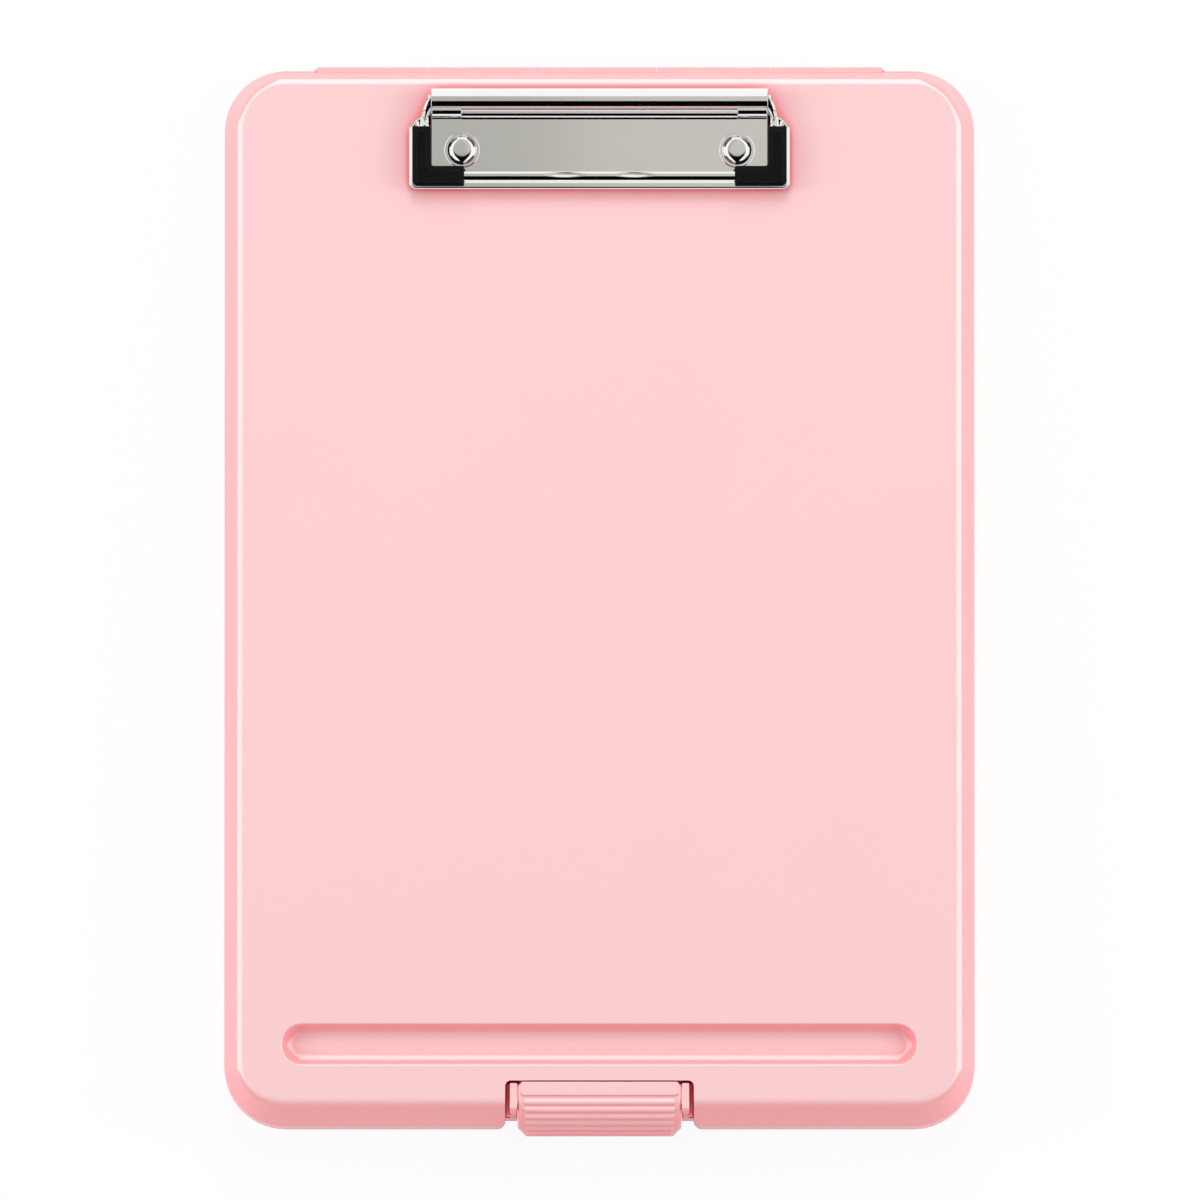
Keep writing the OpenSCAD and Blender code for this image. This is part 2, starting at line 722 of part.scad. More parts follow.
module jaw_frame() {
    half = clip_w / 2;
    translate([0, 0, arm_z]) linear_extrude(sheet_t) jaw_plan();
    // front edge bent down to the paper
    intersection() {
        along_x(-half, half) union() {
            polygon(bent([jaw_front + bend_r, arm_top - bend_r], bend_r, sheet_t, 90, 180, 12));
            translate([jaw_front, body_h + jaw_gap])
                square([sheet_t, arm_top - bend_r - body_h - jaw_gap + eps]);
        }
        linear_extrude(far) jaw_trim();
    }
    // outer edges of the arms bent down
    both_sides() translate([half - sheet_t, jaw_front + bend_r, body_h + jaw_gap + 0.2])
        cube([sheet_t, clip_y - 5 - jaw_front - bend_r, arm_top - body_h - jaw_gap - 0.2]);
    // bead along the lip, between the grips
    bead_half = half - grip_w - sheet_t - 0.3;
    bead_y = jaw_window - bead_r;
    translate([0, bead_y, arm_z + sheet_t / 2]) intersection() {
        rod_x(-bead_half, bead_half, bead_r);
        translate([-far / 2, -far / 2, 0]) cube([far, far, far]);
    }
    // finger lever
    along_x(-lever_w / 2, lever_w / 2)
        polygon(bent([lever_cy, lever_cz], lever_r, sheet_t, lever_front_a, lever_back_a, 14));
    // cheeks with the pivot bores, joined to the lever and the arms
    both_sides() along_x(cheek_x, cheek_x + cheek_w) difference() {
        union() {
            translate([clip_y, clip_z]) circle(barrel_r - 0.2);
            translate([clip_y - 5, arm_z]) square([6, sheet_t]);
            polygon(concat([[clip_y - 1.5, clip_z + 0.6]],
                arc([lever_cy, lever_cz], lever_r, lever_front_a, lever_back_a + 12, 10),
                [[clip_y + 1.6, clip_z - 0.9]]));
        }
        translate([clip_y, clip_z]) circle(clip_pin_d / 2 + pin_fit);
    }
    // the lever runs out to the cheeks at its front half
    both_sides() along_x(lever_w / 2 - eps, cheek_x + cheek_w)
        polygon(bent([lever_cy, lever_cz], lever_r, sheet_t, lever_front_a, lever_back_a + 22, 10));
}

module clip_jaw() {
    color(chrome) difference() {
        jaw_frame();
        clip_axis() both_sides() rod_x(cheek_x - 1, cheek_x + cheek_w + 3, clip_pin_d / 2 + pin_fit);
    }
}

// L-shaped rubber corner, moulded round the sheet of the jaw
module rubber_grip() {
    color(rubber) difference() {
        union() {
            translate([0, 0, grip_web_z]) linear_extrude(grip_top - grip_web_z) polygon([
                [grip_x, grip_front], [grip_x, grip_front + grip_l], [grip_inner, grip_front + grip_l],
                [grip_inner, grip_front + grip_foot], [clip_w / 2 - sheet_t - grip_w, grip_front + grip_foot],
                [clip_w / 2 - sheet_t - grip_w, grip_front]
            ]);
            translate([0, 0, body_h + jaw_gap]) linear_extrude(grip_web_z - body_h - jaw_gap + eps) polygon([
                [grip_x, grip_front], [grip_x, grip_front + grip_l], [window_x, grip_front + grip_l],
                [window_x, grip_front + grip_foot - 1], [clip_w / 2 - sheet_t - grip_w, grip_front + grip_foot - 1],
                [clip_w / 2 - sheet_t - grip_w, grip_front]
            ]);
        }
        jaw_frame();
    }
}

module rubber_grip_right() {
    rubber_grip();
}

module rubber_grip_left() {
    mirror([1, 0, 0]) rubber_grip();
}

base_tray();
hinge_pin();
latch();
latch_pin();
lid();
clip_plate();
clip_rivets();
rivet_washers();
clip_pivot_pin();
clip_spring_left();
clip_spring_right();
clip_jaw();
rubber_grip_left();
rubber_grip_right();
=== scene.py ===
"""Looks of the storage clipboard box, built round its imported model.

Every piece is drawn in millimetres in the model's own frame (origin under the middle of the case, +X right,
+Y to the hinge and clip, +Z up) and scaled to metres when it is finished.
"""
import math
from types import SimpleNamespace

import bmesh
import bpy
from bpy.props import FloatProperty, FloatVectorProperty, IntProperty, PointerProperty
from mathutils import Matrix, Quaternion, Vector


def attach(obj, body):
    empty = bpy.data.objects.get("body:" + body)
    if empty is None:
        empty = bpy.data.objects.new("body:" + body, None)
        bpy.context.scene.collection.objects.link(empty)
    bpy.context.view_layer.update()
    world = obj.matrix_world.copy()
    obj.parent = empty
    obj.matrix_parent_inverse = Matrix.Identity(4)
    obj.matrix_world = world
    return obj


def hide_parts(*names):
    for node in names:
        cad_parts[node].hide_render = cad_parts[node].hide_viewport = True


bl_info = {
    "name": "Storage clipboard box",
    "version": (1, 0, 0),
    "blender": (4, 5, 0),
    "location": "View3D > Sidebar > Clipboard box",
    "description": "Dresses the packed clipboard box: moulded case, latch, pressed clip, grips and studio",
    "category": "Object",
}

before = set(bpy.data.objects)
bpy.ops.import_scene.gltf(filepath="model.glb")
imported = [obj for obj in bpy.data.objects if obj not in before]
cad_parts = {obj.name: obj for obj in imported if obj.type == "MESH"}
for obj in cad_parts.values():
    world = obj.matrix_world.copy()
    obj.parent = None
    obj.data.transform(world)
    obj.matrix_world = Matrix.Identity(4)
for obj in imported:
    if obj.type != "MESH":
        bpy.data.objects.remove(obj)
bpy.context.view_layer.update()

FAR = 60  # mm, past the top of every piece, for cutters


# ---- sizes and colours ----

def linear(hex_colour):
    """An sRGB hex colour as linear red, green and blue."""
    channels = [int(hex_colour[i:i + 2], 16) / 255 for i in (1, 3, 5)]
    return tuple(c / 12.92 if c <= 0.04045 else ((c + 0.055) / 1.055) ** 2.4 for c in channels)


def length(name, millimetres, description):
    """A length property with its default in millimetres."""
    return FloatProperty(name=name, description=description, default=millimetres / 1000, min=0, soft_max=0.5,
                         precision=5, unit="LENGTH", subtype="DISTANCE")


def colour(name, hex_colour, description):
    """A colour property with an sRGB hex default."""
    return FloatVectorProperty(name=name, description=description, default=linear(hex_colour), size=3,
                               min=0, max=1, subtype="COLOR")


class CaseSizes(bpy.types.PropertyGroup):
    """Sizes of the moulded case."""
    width: length("Width", 240, "Width of the closed case")
    depth: length("Length", 338.5, "Length of the case, front wall to hinge wall")
    height: length("Height", 25.4, "Underside to writing face")
    corner: length("Corner radius", 19.5, "Corner radius seen from above")
    wall: length("Wall", 2.2, "Thickness of the side walls")
    floor: length("Floor", 2, "Thickness of the tray floor")
    foot: length("Underside bevel", 1.2, "Bevel round the underside")
    seam: length("Seam", 0.3, "Gap between tray rim and lid rim")
    divider_y: length("Paper room", 284, "Room for paper behind the divider")
    divider_h: length("Divider height", 11.5, "Height of the divider above the floor")
    divider_t: length("Divider thickness", 1.8, "Thickness of the divider and the pocket walls")
    lid_h: length("Lid height", 9.1, "Rim to writing face")
    band: length("Band", 1.6, "Upright band at the bottom of the lid's side")
    side_edge: length("Side edge", 6.4, "Side of the case to the flat face")
    hinge_edge: length("Hinge edge", 5.2, "Hinge end of the case to the flat face")
    front_edge: length("Front edge", 9, "Latch end of the case to the flat face")
    shoulder: length("Shoulder radius", 3, "Rounding where the slope meets the face")
    front_shoulder: length("Front shoulder radius", 4.4, "The same at the latch end")
    panel: length("Panel", 2.4, "Thickness of the writing panel")
    lip_d: length("Lip depth", 1.5, "Depth of the locating lip")
    lip_t: length("Lip thickness", 1.4, "Thickness of the locating lip")
    lip_gap: length("Lip clearance", 0.35, "Clearance of the lip in the tray")
    groove_l: length("Groove length", 204, "Length of the pen groove")
    groove_w: length("Groove width", 14, "Width of the pen groove")
    groove_d: length("Groove depth", 3.2, "Depth of the pen groove")
    groove_in: length("Groove to front", 25.9, "Middle of the groove to the front edge")
    groove_t: length("Groove wall", 1.6, "Thickness under the groove")
    hinge_l: length("Hinge length", 183, "Length of the hinge barrel")
    hinge_d: length("Hinge diameter", 5.2, "Outside diameter of the barrel")
    hinge_out: length("Hinge overhang", 1.5, "How far the barrel stands out behind")
    hinge_taper: length("Hinge taper", 1.2, "Length of the tapered ends of the barrel")
    knuckles: IntProperty(name="Knuckles", description="Knuckles along the hinge", default=5, min=3, max=9)
    knuckle_gap: length("Knuckle gap", 0.12, "Gap between two knuckles")
    knuckle_room: length("Knuckle room", 0.3, "Room round a knuckle")
    rod_d: length("Rod diameter", 2, "Diameter of the hinge rod, latch pin and clip rod")
    notch_r: length("Notch corner", 1.8, "Radius of the notch's inner corners")
    mouth_r: length("Notch mouth", 2.75, "Radius of the corners at the notch's mouth")
    soft: length("Edge softness", 0.3, "Rounding of the moulded edges")


class LatchSizes(bpy.types.PropertyGroup):
    """Sizes of the front latch."""
    width: length("Width", 52.3, "Width of the latch")
    radius: length("Radius", 12.4, "Outside radius of the curved face")
    pad: length("Pad", 4.1, "Length of the flat pad behind the curve")
    thickness: length("Thickness", 2, "Thickness of the shell")
    out: length("Overhang", 2.5, "How far the latch stands out in front")
    drop: length("Drop", 0.1, "Pad below the writing face")
    bottom: length("Lower edge", 7.5, "Lower edge above the table")
    ridge_r: length("Ridge radius", 1.4, "Radius of a finger ridge")
    ridge_drop: length("Ridge height", 0.5, "How much lower the curve lies between ridges")
    ridge_margin: length("Ridge margin", 2.9, "Bare strip at each end of the ridges")
    ridges: IntProperty(name="Ridges", description="Finger ridges on the curve", default=7, min=3, max=7)
    ridge_step: FloatProperty(name="Ridge step", description="Angle from one ridge to the next",
                              default=math.radians(11.5), min=0.1, max=0.3, subtype="ANGLE")
    pin_in: length("Pin setback", 9.2, "Latch pin behind the front of the latch")
    pin_z: length("Pin height", 11, "Latch pin above the table")
    gap: length("Gap", 0.35, "Gap between the latch and its surroundings")
    cheek: length("Cheek", 2.2, "Thickness of the latch's side walls")
    hub: length("Hub wall", 2, "Wall of the hub round the pin")
    corner: length("Front corner", 3.2, "How far the front corners are drawn in")
    ledge: length("Ledge", 2, "Thickness of the ledge the pad hooks over")
    ear_flat: length("Ear length", 8.6, "Length of an ear's flat top")
    ear: length("Ear thickness", 2.2, "Thickness of the ears that carry the pin")
    notch_gap: length("Notch gap", 1.45, "Gap between an ear and the side of the notch")


class ClipSizes(bpy.types.PropertyGroup):
    """Sizes of the pressed-steel clip."""
    width: length("Width", 121.6, "Width over the arms")
    inset: length("Pivot setback", 13.55, "Pivot below the hinge edge of the case")
    pivot_h: length("Pivot height", 2.6, "Pivot above the writing face")
    sheet: length("Sheet", 0.9, "Thickness of the steel sheet")
    barrel: length("Barrel radius", 2.35, "Outside radius of the rolled barrel")
    barrel_wall: length("Barrel wall", 0.5, "Wall of the barrel over the springs")
    barrel_end: length("Barrel end", 9.6, "Length of each closed end of the barrel")
    rivet_span: length("Rivet span", 88, "Distance between the rivets")
    rivet_in: length("Rivet setback", 12.4, "Rivets in front of the pivot")
    rivet_d: length("Rivet head", 9.5, "Diameter of a rivet head")
    rivet_h: length("Rivet height", 1.6, "Height of a rivet head")
    arm: length("Arm", 6.8, "Width of a side arm")
    reach: length("Jaw reach", 25.1, "Pivot to the front edge of the jaw")
    lip: length("Lip", 5.5, "Depth of the jaw's lip")
    arm_h: length("Arm height", 2.2, "Underside of the arms above the writing face")
    bend: length("Bend radius", 2.3, "Outside radius of the bends and corners")
    bead: length("Bead radius", 1.75, "Radius of the bead along the lip")
    lever_r: length("Lever radius", 5, "Radius of the rolled finger lever")
    lever_back: length("Lever setback", 2.6, "Middle of the lever's roll behind the pivot")
    lever_rise: length("Lever rise", 3.6, "Top of the lever above the pivot")
    lever_w: length("Lever width", 107.8, "Width of the finger lever")
    gap: length("Jaw gap", 0.3, "Gap under the jaw and round its moving edges")
    grip_l: length("Grip length", 19.2, "Length of a rubber grip along the arm")
    grip_w: length("Grip width", 16.6, "Length of a rubber grip along the lip")
    grip_foot: length("Grip foot", 6.5, "Width of the grip's foot along the lip")
    grip_h: length("Grip height", 1.9, "Height of the grip above the arms")
    wire: length("Wire", 0.5, "Wire thickness of the springs")
    spring_x: length("Spring place", 26, "Each spring's inner end from the middle")


class Finishes(bpy.types.PropertyGroup):
    """Colours of the finishes."""
    plastic: colour("Plastic", "#F1C5C7", "Pink polypropylene where the mould was etched")
    # painted shade: the deeper pink of slopes and walls, which stands in for their being less lit
    plastic_slope_shade: colour("Smooth plastic", "#FCABAE", "The same where the mould was polished")
    # painted highlight: the paler pink of the rounded shoulders
    plastic_edge_highlight: colour("Rounded edges", "#FCDCDC", "The same where handling has burnished it")
    # painted shade: the redder pink of recesses and upright walls, also mixed in very slightly by the cloudy
    # flow
    plastic_shade_and_flow: colour("Plastic in recesses", "#FA8087", "The same where light comes back out of it")
    chrome: colour("Chrome", "#F6F6F4", "Chromium plating of the clip")
    steel: colour("Steel", "#A8AAAC", "Plain steel of rods and springs")
    rubber: colour("Rubber", "#0C0C0C", "Black moulded rubber of the grips")
    floor: colour("Floor", "#F6F6F6", "Studio floor")


def clamped(share):
    """A share kept between 0 and 1."""
    return max(0, min(1, share))


def in_mm(group):
    """A group's properties as plain numbers, lengths in millimetres."""
    numbers = {}
    for key in group.__class__.__annotations__:
        value = getattr(group, key)
        is_length = group.bl_rna.properties[key].subtype == "DISTANCE"
        numbers[key] = value * 1000 if is_length else value
    return SimpleNamespace(**numbers)


def sizes():
    """All sizes in millimetres, with the places that follow from them."""
    scene = bpy.context.scene
    case, latch, clip = (in_mm(g) for g in (scene.clipbox_case, scene.clipbox_latch, scene.clipbox_clip))
    case.half, case.front, case.back = case.width / 2, -case.depth / 2, case.depth / 2
    case.rim = case.height - case.lid_h - case.seam
    case.lid_z = case.rim + case.seam
    case.panel_z = case.height - case.panel
    case.divider = case.back - case.wall - case.divider_y
    case.cavity = case.wall + case.lip_gap + case.lip_t
    case.hinge = (case.back + case.hinge_out - case.hinge_d / 2, case.rim + case.seam / 2)
    case.groove_y = case.front + case.groove_in
    # radius of the bores that the rods turn in
    case.bore = case.rod_d / 2 + 0.05
    latch.front = case.front - latch.out
    # how much further than round the curved face stands out in front
    latch.bulge = 1.05
    latch.tip = latch.front - (latch.bulge - 1) * latch.radius
    latch.top = case.height - latch.drop
    latch.centre = (latch.front + latch.radius, latch.top - latch.radius)
    latch.inner = latch.radius - latch.thickness
    latch.back = latch.centre[0] + latch.pad
    latch.pin = (latch.front + latch.pin_in, latch.pin_z)
    latch.notch_back = latch.back + latch.gap
    latch.ear_out = latch.width / 2 + latch.gap + latch.ear
    latch.ear_in = latch.ear_out - latch.ear - 0.2
    latch.notch_half = latch.ear_out + latch.notch_gap
    latch.block = latch.notch_half + case.divider_t
    latch.pocket_back = latch.notch_back - 2 * latch.gap
    latch.ear_top = latch.top - latch.gap
    clip.half = clip.width / 2
    clip.axis = (case.back - clip.inset, case.height + clip.pivot_h)
    clip.window = clip.half - clip.arm
    clip.plate_half = clip.window - 0.2
    clip.plate_top = case.height + clip.sheet
    clip.front = clip.axis[0] - clip.reach
    clip.window_y = clip.front + clip.lip
    clip.arm_top = case.height + clip.arm_h + clip.sheet
    clip.lever = (clip.axis[0] + clip.lever_back + 0.4, clip.axis[1] + clip.lever_rise - clip.lever_r)
    clip.rivet_y = clip.axis[0] - clip.rivet_in
    clip.tab = clip.half - clip.grip_w - clip.sheet - clip.gap
    # radii of the rivets' holes, of their washers and of their tails, and the washers' thickness
    clip.hole, clip.washer, clip.tail, clip.washer_t = 2.05, 4.5, 3.3, 0.6
    return case, latch, clip


# ---- drawing helpers ----

def fillet_path(points, radii, segments=6):
    """A path through 2D points, each inner corner rounded by its radius (0 keeps it sharp)."""
    path = [Vector(points[0])]
    for before, corner, after, radius in zip(points, points[1:], points[2:], radii):
        corner = Vector(corner)
        u, v = (Vector(before) - corner).normalized(), (Vector(after) - corner).normalized()
        turn = math.pi - u.angle(v)
        if radius <= 0 or turn < 1e-4:
            path.append(corner)
            continue
        start, end = corner + u * radius * math.tan(turn / 2), corner + v * radius * math.tan(turn / 2)
        middle = corner + (u + v).normalized() * radius / math.cos(turn / 2)
        shares = [k / segments for k in range(segments + 1)]
        path += [middle + (start - middle).slerp(end - middle, share) * radius for share in shares]
    path.append(Vector(points[-1]))
    return path


def fillet_loop(points, radii, segments=6):
    """A closed outline with its corners rounded."""
    if not isinstance(radii, (list, tuple)):
        radii = [radii] * len(points)
    closed = [points[-1], *points, points[0]]
    return fillet_path(closed, radii, segments)[1:-1]


def arc(centre, radius, start, end, segments):
    """Points on an arc, angles in degrees."""
    x, y = centre
    angles = [math.radians(start + (end - start) * i / segments) for i in range(segments + 1)]
    return [Vector((x + radius * math.cos(a), y + radius * math.sin(a))) for a in angles]


def add_ring(bm, points):
    """A closed ring of edges through 3D points."""
    ring = bmesh.ops.create_circle(bm, segments=len(points), radius=1)["verts"]
    for vert, point in zip(ring, points):
        vert.co = point
    return ring


def ring_edges(bm, ring):
    """The edges round a ring of vertices."""
    return [bm.edges.get(pair) for pair in zip(ring, ring[1:] + ring[:1])]


def next_ring(bm, ring, points):
    """Extrudes a ring's edges and moves the new ring to the given points."""
    made = bmesh.ops.extrude_edge_only(bm, edges=ring_edges(bm, ring))["geom"]
    fresh = {g for g in made if isinstance(g, bmesh.types.BMVert)}
    moved = [next(e.other_vert(v) for e in v.link_edges if e.other_vert(v) in fresh) for v in ring]
    for vert, point in zip(moved, points):
        vert.co = point
    return moved


def cleaned(bm):
    """A piece with its seams merged and its faces turned outwards."""
    bmesh.ops.remove_doubles(bm, verts=bm.verts, dist=1e-3)
    bmesh.ops.recalc_face_normals(bm, faces=bm.faces)
    return bm


def loft(rings, cap=True):
    """A solid through rings of 3D points, closed at both ends."""
    bm = bmesh.new()
    ring = first = add_ring(bm, rings[0])
    for points in rings[1:]:
        ring = next_ring(bm, ring, points)
    if cap:
        for end in (first, ring):
            bmesh.ops.contextual_create(bm, geom=ring_edges(bm, end))
    return cleaned(bm)


def prism_z(outline, low, high):
    """A plan outline (x, y) extruded upwards."""
    return loft([[(x, y, z) for x, y in outline] for z in (low, high)])


def prism_x(outline, left, right):
    """A side outline (y, z) extruded along X."""
    return loft([[(x, y, z) for y, z in outline] for x in (left, right)])


def box(x0, x1, y0, y1, z0, z1):
    """A block between two corners."""
    bm = bmesh.new()
    place = Matrix.Translation(((x0 + x1) / 2, (y0 + y1) / 2, (z0 + z1) / 2))
    bmesh.ops.create_cube(bm, size=1, matrix=place @ Matrix.Diagonal((x1 - x0, y1 - y0, z1 - z0, 1)))
    return bm


def turned(profile, centre, axis, steps=48):
    """A turned piece: (radius, along) points spun about an axis X or Z through a centre."""
    bm = bmesh.new()
    along = Vector((1, 0, 0)) if axis == "X" else Vector((0, 0, 1))
    out = Vector((0, 1, 0)) if axis == "X" else Vector((1, 0, 0))
    centre = Vector(centre)
    verts = [bm.verts.new(centre + out * r + along * a) for r, a in profile]
    edges = [bm.edges.new(pair) for pair in zip(verts, verts[1:])]
    bmesh.ops.spin(bm, geom=verts + edges, cent=centre, axis=along, angle=math.tau, steps=steps,
                   use_merge=True)
    return cleaned(bm)


def plug(radius, start, end):
    """Half the outline of a round bar, for turning."""
    return [(0, start), (radius, start), (radius, end), (0, end)]


def rod(left, right, radius, centre, ends=0.25, steps=32):
    """A rod along X whose ends are rounded off."""
    return turned(fillet_path(plug(radius, left, right), [ends, ends], 4), (0, *centre), "X", steps)


def at_rivets(clip, profile, steps=48):
    """A turned piece at each of the two rivets."""
    places = [(side * clip.rivet_span / 2, clip.rivet_y, 0) for side in (-1, 1)]
    return joined(*(turned(profile, place, "Z", steps) for place in places))


def mirrored(bm):
    """A copy of a piece on the other side of the middle plane."""
    twin = bm.copy()
    bmesh.ops.scale(twin, vec=(-1, 1, 1), verts=twin.verts)
    bmesh.ops.reverse_faces(twin, faces=twin.faces)
    return twin


def both_sides(bm):
    """A piece together with its twin."""
    return joined(mirrored(bm), bm)


def mesh_from(name, bm):
    """A mesh with the shape of bm, which is used up."""
    mesh = bpy.data.meshes.new(name)
    bm.to_mesh(mesh)
    bm.free()
    return mesh


def placed(name, data):
    """A new object in the scene."""
    obj = bpy.data.objects.new(name, data)
    bpy.context.scene.collection.objects.link(obj)
    return obj


def joined(*parts):
    """Several pieces in one mesh, side by side."""
    whole = bmesh.new()
    for part in parts:
        mesh = mesh_from("part", part)
        whole.from_mesh(mesh)
        bpy.data.meshes.remove(mesh)
    return whole


def combined(base, *steps):
    """base after a row of (operation, piece) steps: UNION, DIFFERENCE or INTERSECT."""
    for operation, part in steps:
        objects = [placed(name, mesh_from(name, bm)) for name, bm in (("base", base), ("other", part))]
        change = objects[0].modifiers.new("change", "BOOLEAN")
        change.operation, change.solver, change.object = operation, "EXACT", objects[1]
        base = bmesh.new()
        base.from_object(objects[0], bpy.context.evaluated_depsgraph_get())
        for obj in objects:
            mesh = obj.data
            bpy.data.objects.remove(obj)
            bpy.data.meshes.remove(mesh)
        if not base.faces:
            raise RuntimeError(f"a {operation} step left nothing")
    bmesh.ops.remove_doubles(base, verts=base.verts, dist=2e-4)
    bmesh.ops.dissolve_degenerate(base, edges=base.edges, dist=2e-4)
    return base


def soften(bm, width, segments=3, sharper_than=35, where=None):
    """Bevels the sharp edges of a piece, or those of them that a test picks."""
    bmesh.ops.dissolve_limit(bm, angle_limit=math.radians(0.2), verts=bm.verts, edges=bm.edges)
    limit = math.radians(sharper_than)
    edges = [e for e in bm.edges if len(e.link_faces) == 2 and e.calc_face_angle(0) > limit
             and (where is None or where((e.verts[0].co + e.verts[1].co) / 2))]
    bmesh.ops.bevel(bm, geom=edges, offset=width, offset_type="OFFSET", affect="EDGES", segments=segments,
                    profile=0.5, material=-1, clamp_overlap=True)
    return bm


def piece(name, bm, material, body, node, smooth=32):
    """Finishes a piece: metres, shading, body, material slot and the CAD node it stands for."""
    bmesh.ops.scale(bm, vec=(0.001,) * 3, verts=bm.verts)
    for face in bm.faces:
        face.smooth = True
    limit = math.radians(smooth)
    for edge in bm.edges:
        edge.smooth = len(edge.link_faces) == 2 and edge.calc_face_angle(0) < limit
    obj = placed(name, mesh_from(name, bm))
    obj.data.materials.append(material)
    shading = obj.modifiers.new("even shading", "WEIGHTED_NORMAL")
    shading.keep_sharp = True
    shading.weight = 90
    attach(obj, body)
    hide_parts(node)


# ---- finishes ----

def new_material(name):
    """A node material with no nodes yet."""
    material = bpy.data.materials.new(name)
    material.use_nodes = True
    material.node_tree.nodes.clear()
    return material


def made_once(build):
    """Turns a function that builds a finish into one that makes it once, under its name, and hands it out."""
    def material():
        made = bpy.data.materials.get(build.__name__)
        if not made:
            made = new_material(build.__name__)
            build(made.node_tree, bpy.context.scene.clipbox_finish)
        return made
    return material


def add_node(tree, kind, inputs=None, **settings):
    """A shader node. Each input is a value, or the (node, output) that it is linked to."""
    node = tree.nodes.new(f"ShaderNode{kind}")
    for key, value in settings.items():
        setattr(node, key, value)
    for key, value in (inputs or {}).items():
        if isinstance(value, tuple) and isinstance(value[0], bpy.types.Node):
            tree.links.new(value[0].outputs[value[1]], node.inputs[key])
        else:
            node.inputs[key].default_value = value
    return node


def calculated(tree, operation, *terms):
    """The result of a sum on one or two values."""
    return add_node(tree, "Math", dict(enumerate(terms)), operation=operation), "Value"


def ranged(tree, source, low, high, start=0.0, end=1.0, kind="LINEAR"):
    """A value that goes from low to high while its source goes from start to end."""
    ends = {"Value": source, "From Min": start, "From Max": end, "To Min": low, "To Max": high}
    return add_node(tree, "MapRange", ends, interpolation_type=kind), "Result"


def mixed(tree, share, first, second, kind="RGBA"):
    """Two colours, or two values, mixed by a share."""
    a, b, output = {"RGBA": (6, 7, 2), "FLOAT": (2, 3, 0)}[kind]
    return add_node(tree, "Mix", {0: share, a: first, b: second}, data_type=kind), output


def noise(tree, place, scale, detail, roughness=0.5):
    """Cloudy variation with about so many clouds a metre."""
    inputs = {"Vector": place, "Scale": scale, "Detail": detail, "Roughness": roughness}
    return add_node(tree, "TexNoise", inputs), "Fac"


def end_surface(tree, height, strength, distance, **inputs):
    """The last nodes of a finish: a bump of a height, the surface itself and the output."""
    bump = add_node(tree, "Bump", {"Height": height, "Strength": strength, "Distance": distance})
    inputs = {key.replace("_", " "): value for key, value in inputs.items()}
    shader = add_node(tree, "BsdfPrincipled", {"Normal": (bump, "Normal"), **inputs})
    add_node(tree, "OutputMaterial", {"Surface": (shader, "BSDF")})


@made_once
def moulded_polypropylene(tree, finish):
    """Injection-moulded polypropylene: level faces etched matt, the rest smooth; painted shade deepens the
    pink of slopes, walls and recesses, and a painted highlight makes the rounded shoulders paler.
    """
    place = add_node(tree, "TexCoord")
    facing = add_node(tree, "SeparateXYZ", {"Vector": (place, "Normal")})
    point = add_node(tree, "SeparateXYZ", {"Vector": (place, "Object")})
    # the mould is etched on the level faces only, which makes them rougher and paler; the other faces take a
    # deeper pink, which is painted shade so that slopes and walls look less lit
    lie = calculated(tree, "ABSOLUTE", (facing, "Z"))
    level = ranged(tree, lie, 0.0, 1.0, 0.82, 0.998, "SMOOTHSTEP")
    # painted highlight: rounded shoulders take a paler pink where lamps would glint on them; not the slopes
    # or level faces, nor the side turned to the latch, the corners of the case or the hinge
    askew = calculated(tree, "ABSOLUTE", calculated(tree, "MULTIPLY", (facing, "X"), (facing, "Y")))
    rounded = 1.0
    for mask in (((facing, "Z"), 0.0, 1.0, 0.62, 0.76), ((facing, "Z"), 1.0, 0.0, 0.965, 0.995),
                 ((facing, "Y"), 0.0, 1.0, -0.27, -0.05), (askew, 1.0, 0.0, 0.04, 0.12),
                 ((point, "Y"), 1.0, 0.0, 0.1665, 0.1675)):
        rounded = calculated(tree, "MULTIPLY", rounded, ranged(tree, *mask, "SMOOTHSTEP"))
    # cloudy flow of the melt, 60 mm across, hardly seen
    flow = ranged(tree, noise(tree, (place, "Object"), 16.0, 2.0), 0.0, 0.02, 0.3, 0.7)
    # painted shade: recesses, creases and the lid round the clip take a redder, deeper pink where ambient
    # occlusion finds something within 10 mm, a little less of it down by the table
    recess = add_node(tree, "AmbientOcclusion", {"Distance": 0.01}, samples=8, only_local=False)
    most = ranged(tree, (point, "Z"), 0.8, 1.0, 0.008, 0.018)
    depth = ranged(tree, (recess, "AO"), most, 0.0, 0.5, 0.96)
    # painted shade: upright walls take a deeper pink, so that they look less lit
    upright = ranged(tree, lie, 0.2, 0.0, 0.05, 0.35, "SMOOTHSTEP")
    shade_and_flow = calculated(tree, "MAXIMUM", calculated(tree, "MAXIMUM", depth, flow), upright)
    skin = mixed(tree, level, (*finish.plastic_slope_shade, 1), (*finish.plastic, 1))
    highlighted = mixed(tree, rounded, skin, (*finish.plastic_edge_highlight, 1))
    body = mixed(tree, shade_and_flow, highlighted, (*finish.plastic_shade_and_flow, 1))
    # etched grain of the mould, 0.5 mm, and its patchy gloss
    grain = noise(tree, (place, "Object"), 2000.0, 3.0, 0.6)
    matt, smooth = ranged(tree, grain, 0.36, 0.48), ranged(tree, grain, 0.2, 0.28)
    end_surface(tree, grain, ranged(tree, level, 0.06, 0.25), 0.00002, IOR=1.49, Base_Color=body,
                Roughness=mixed(tree, level, smooth, matt, "FLOAT"))


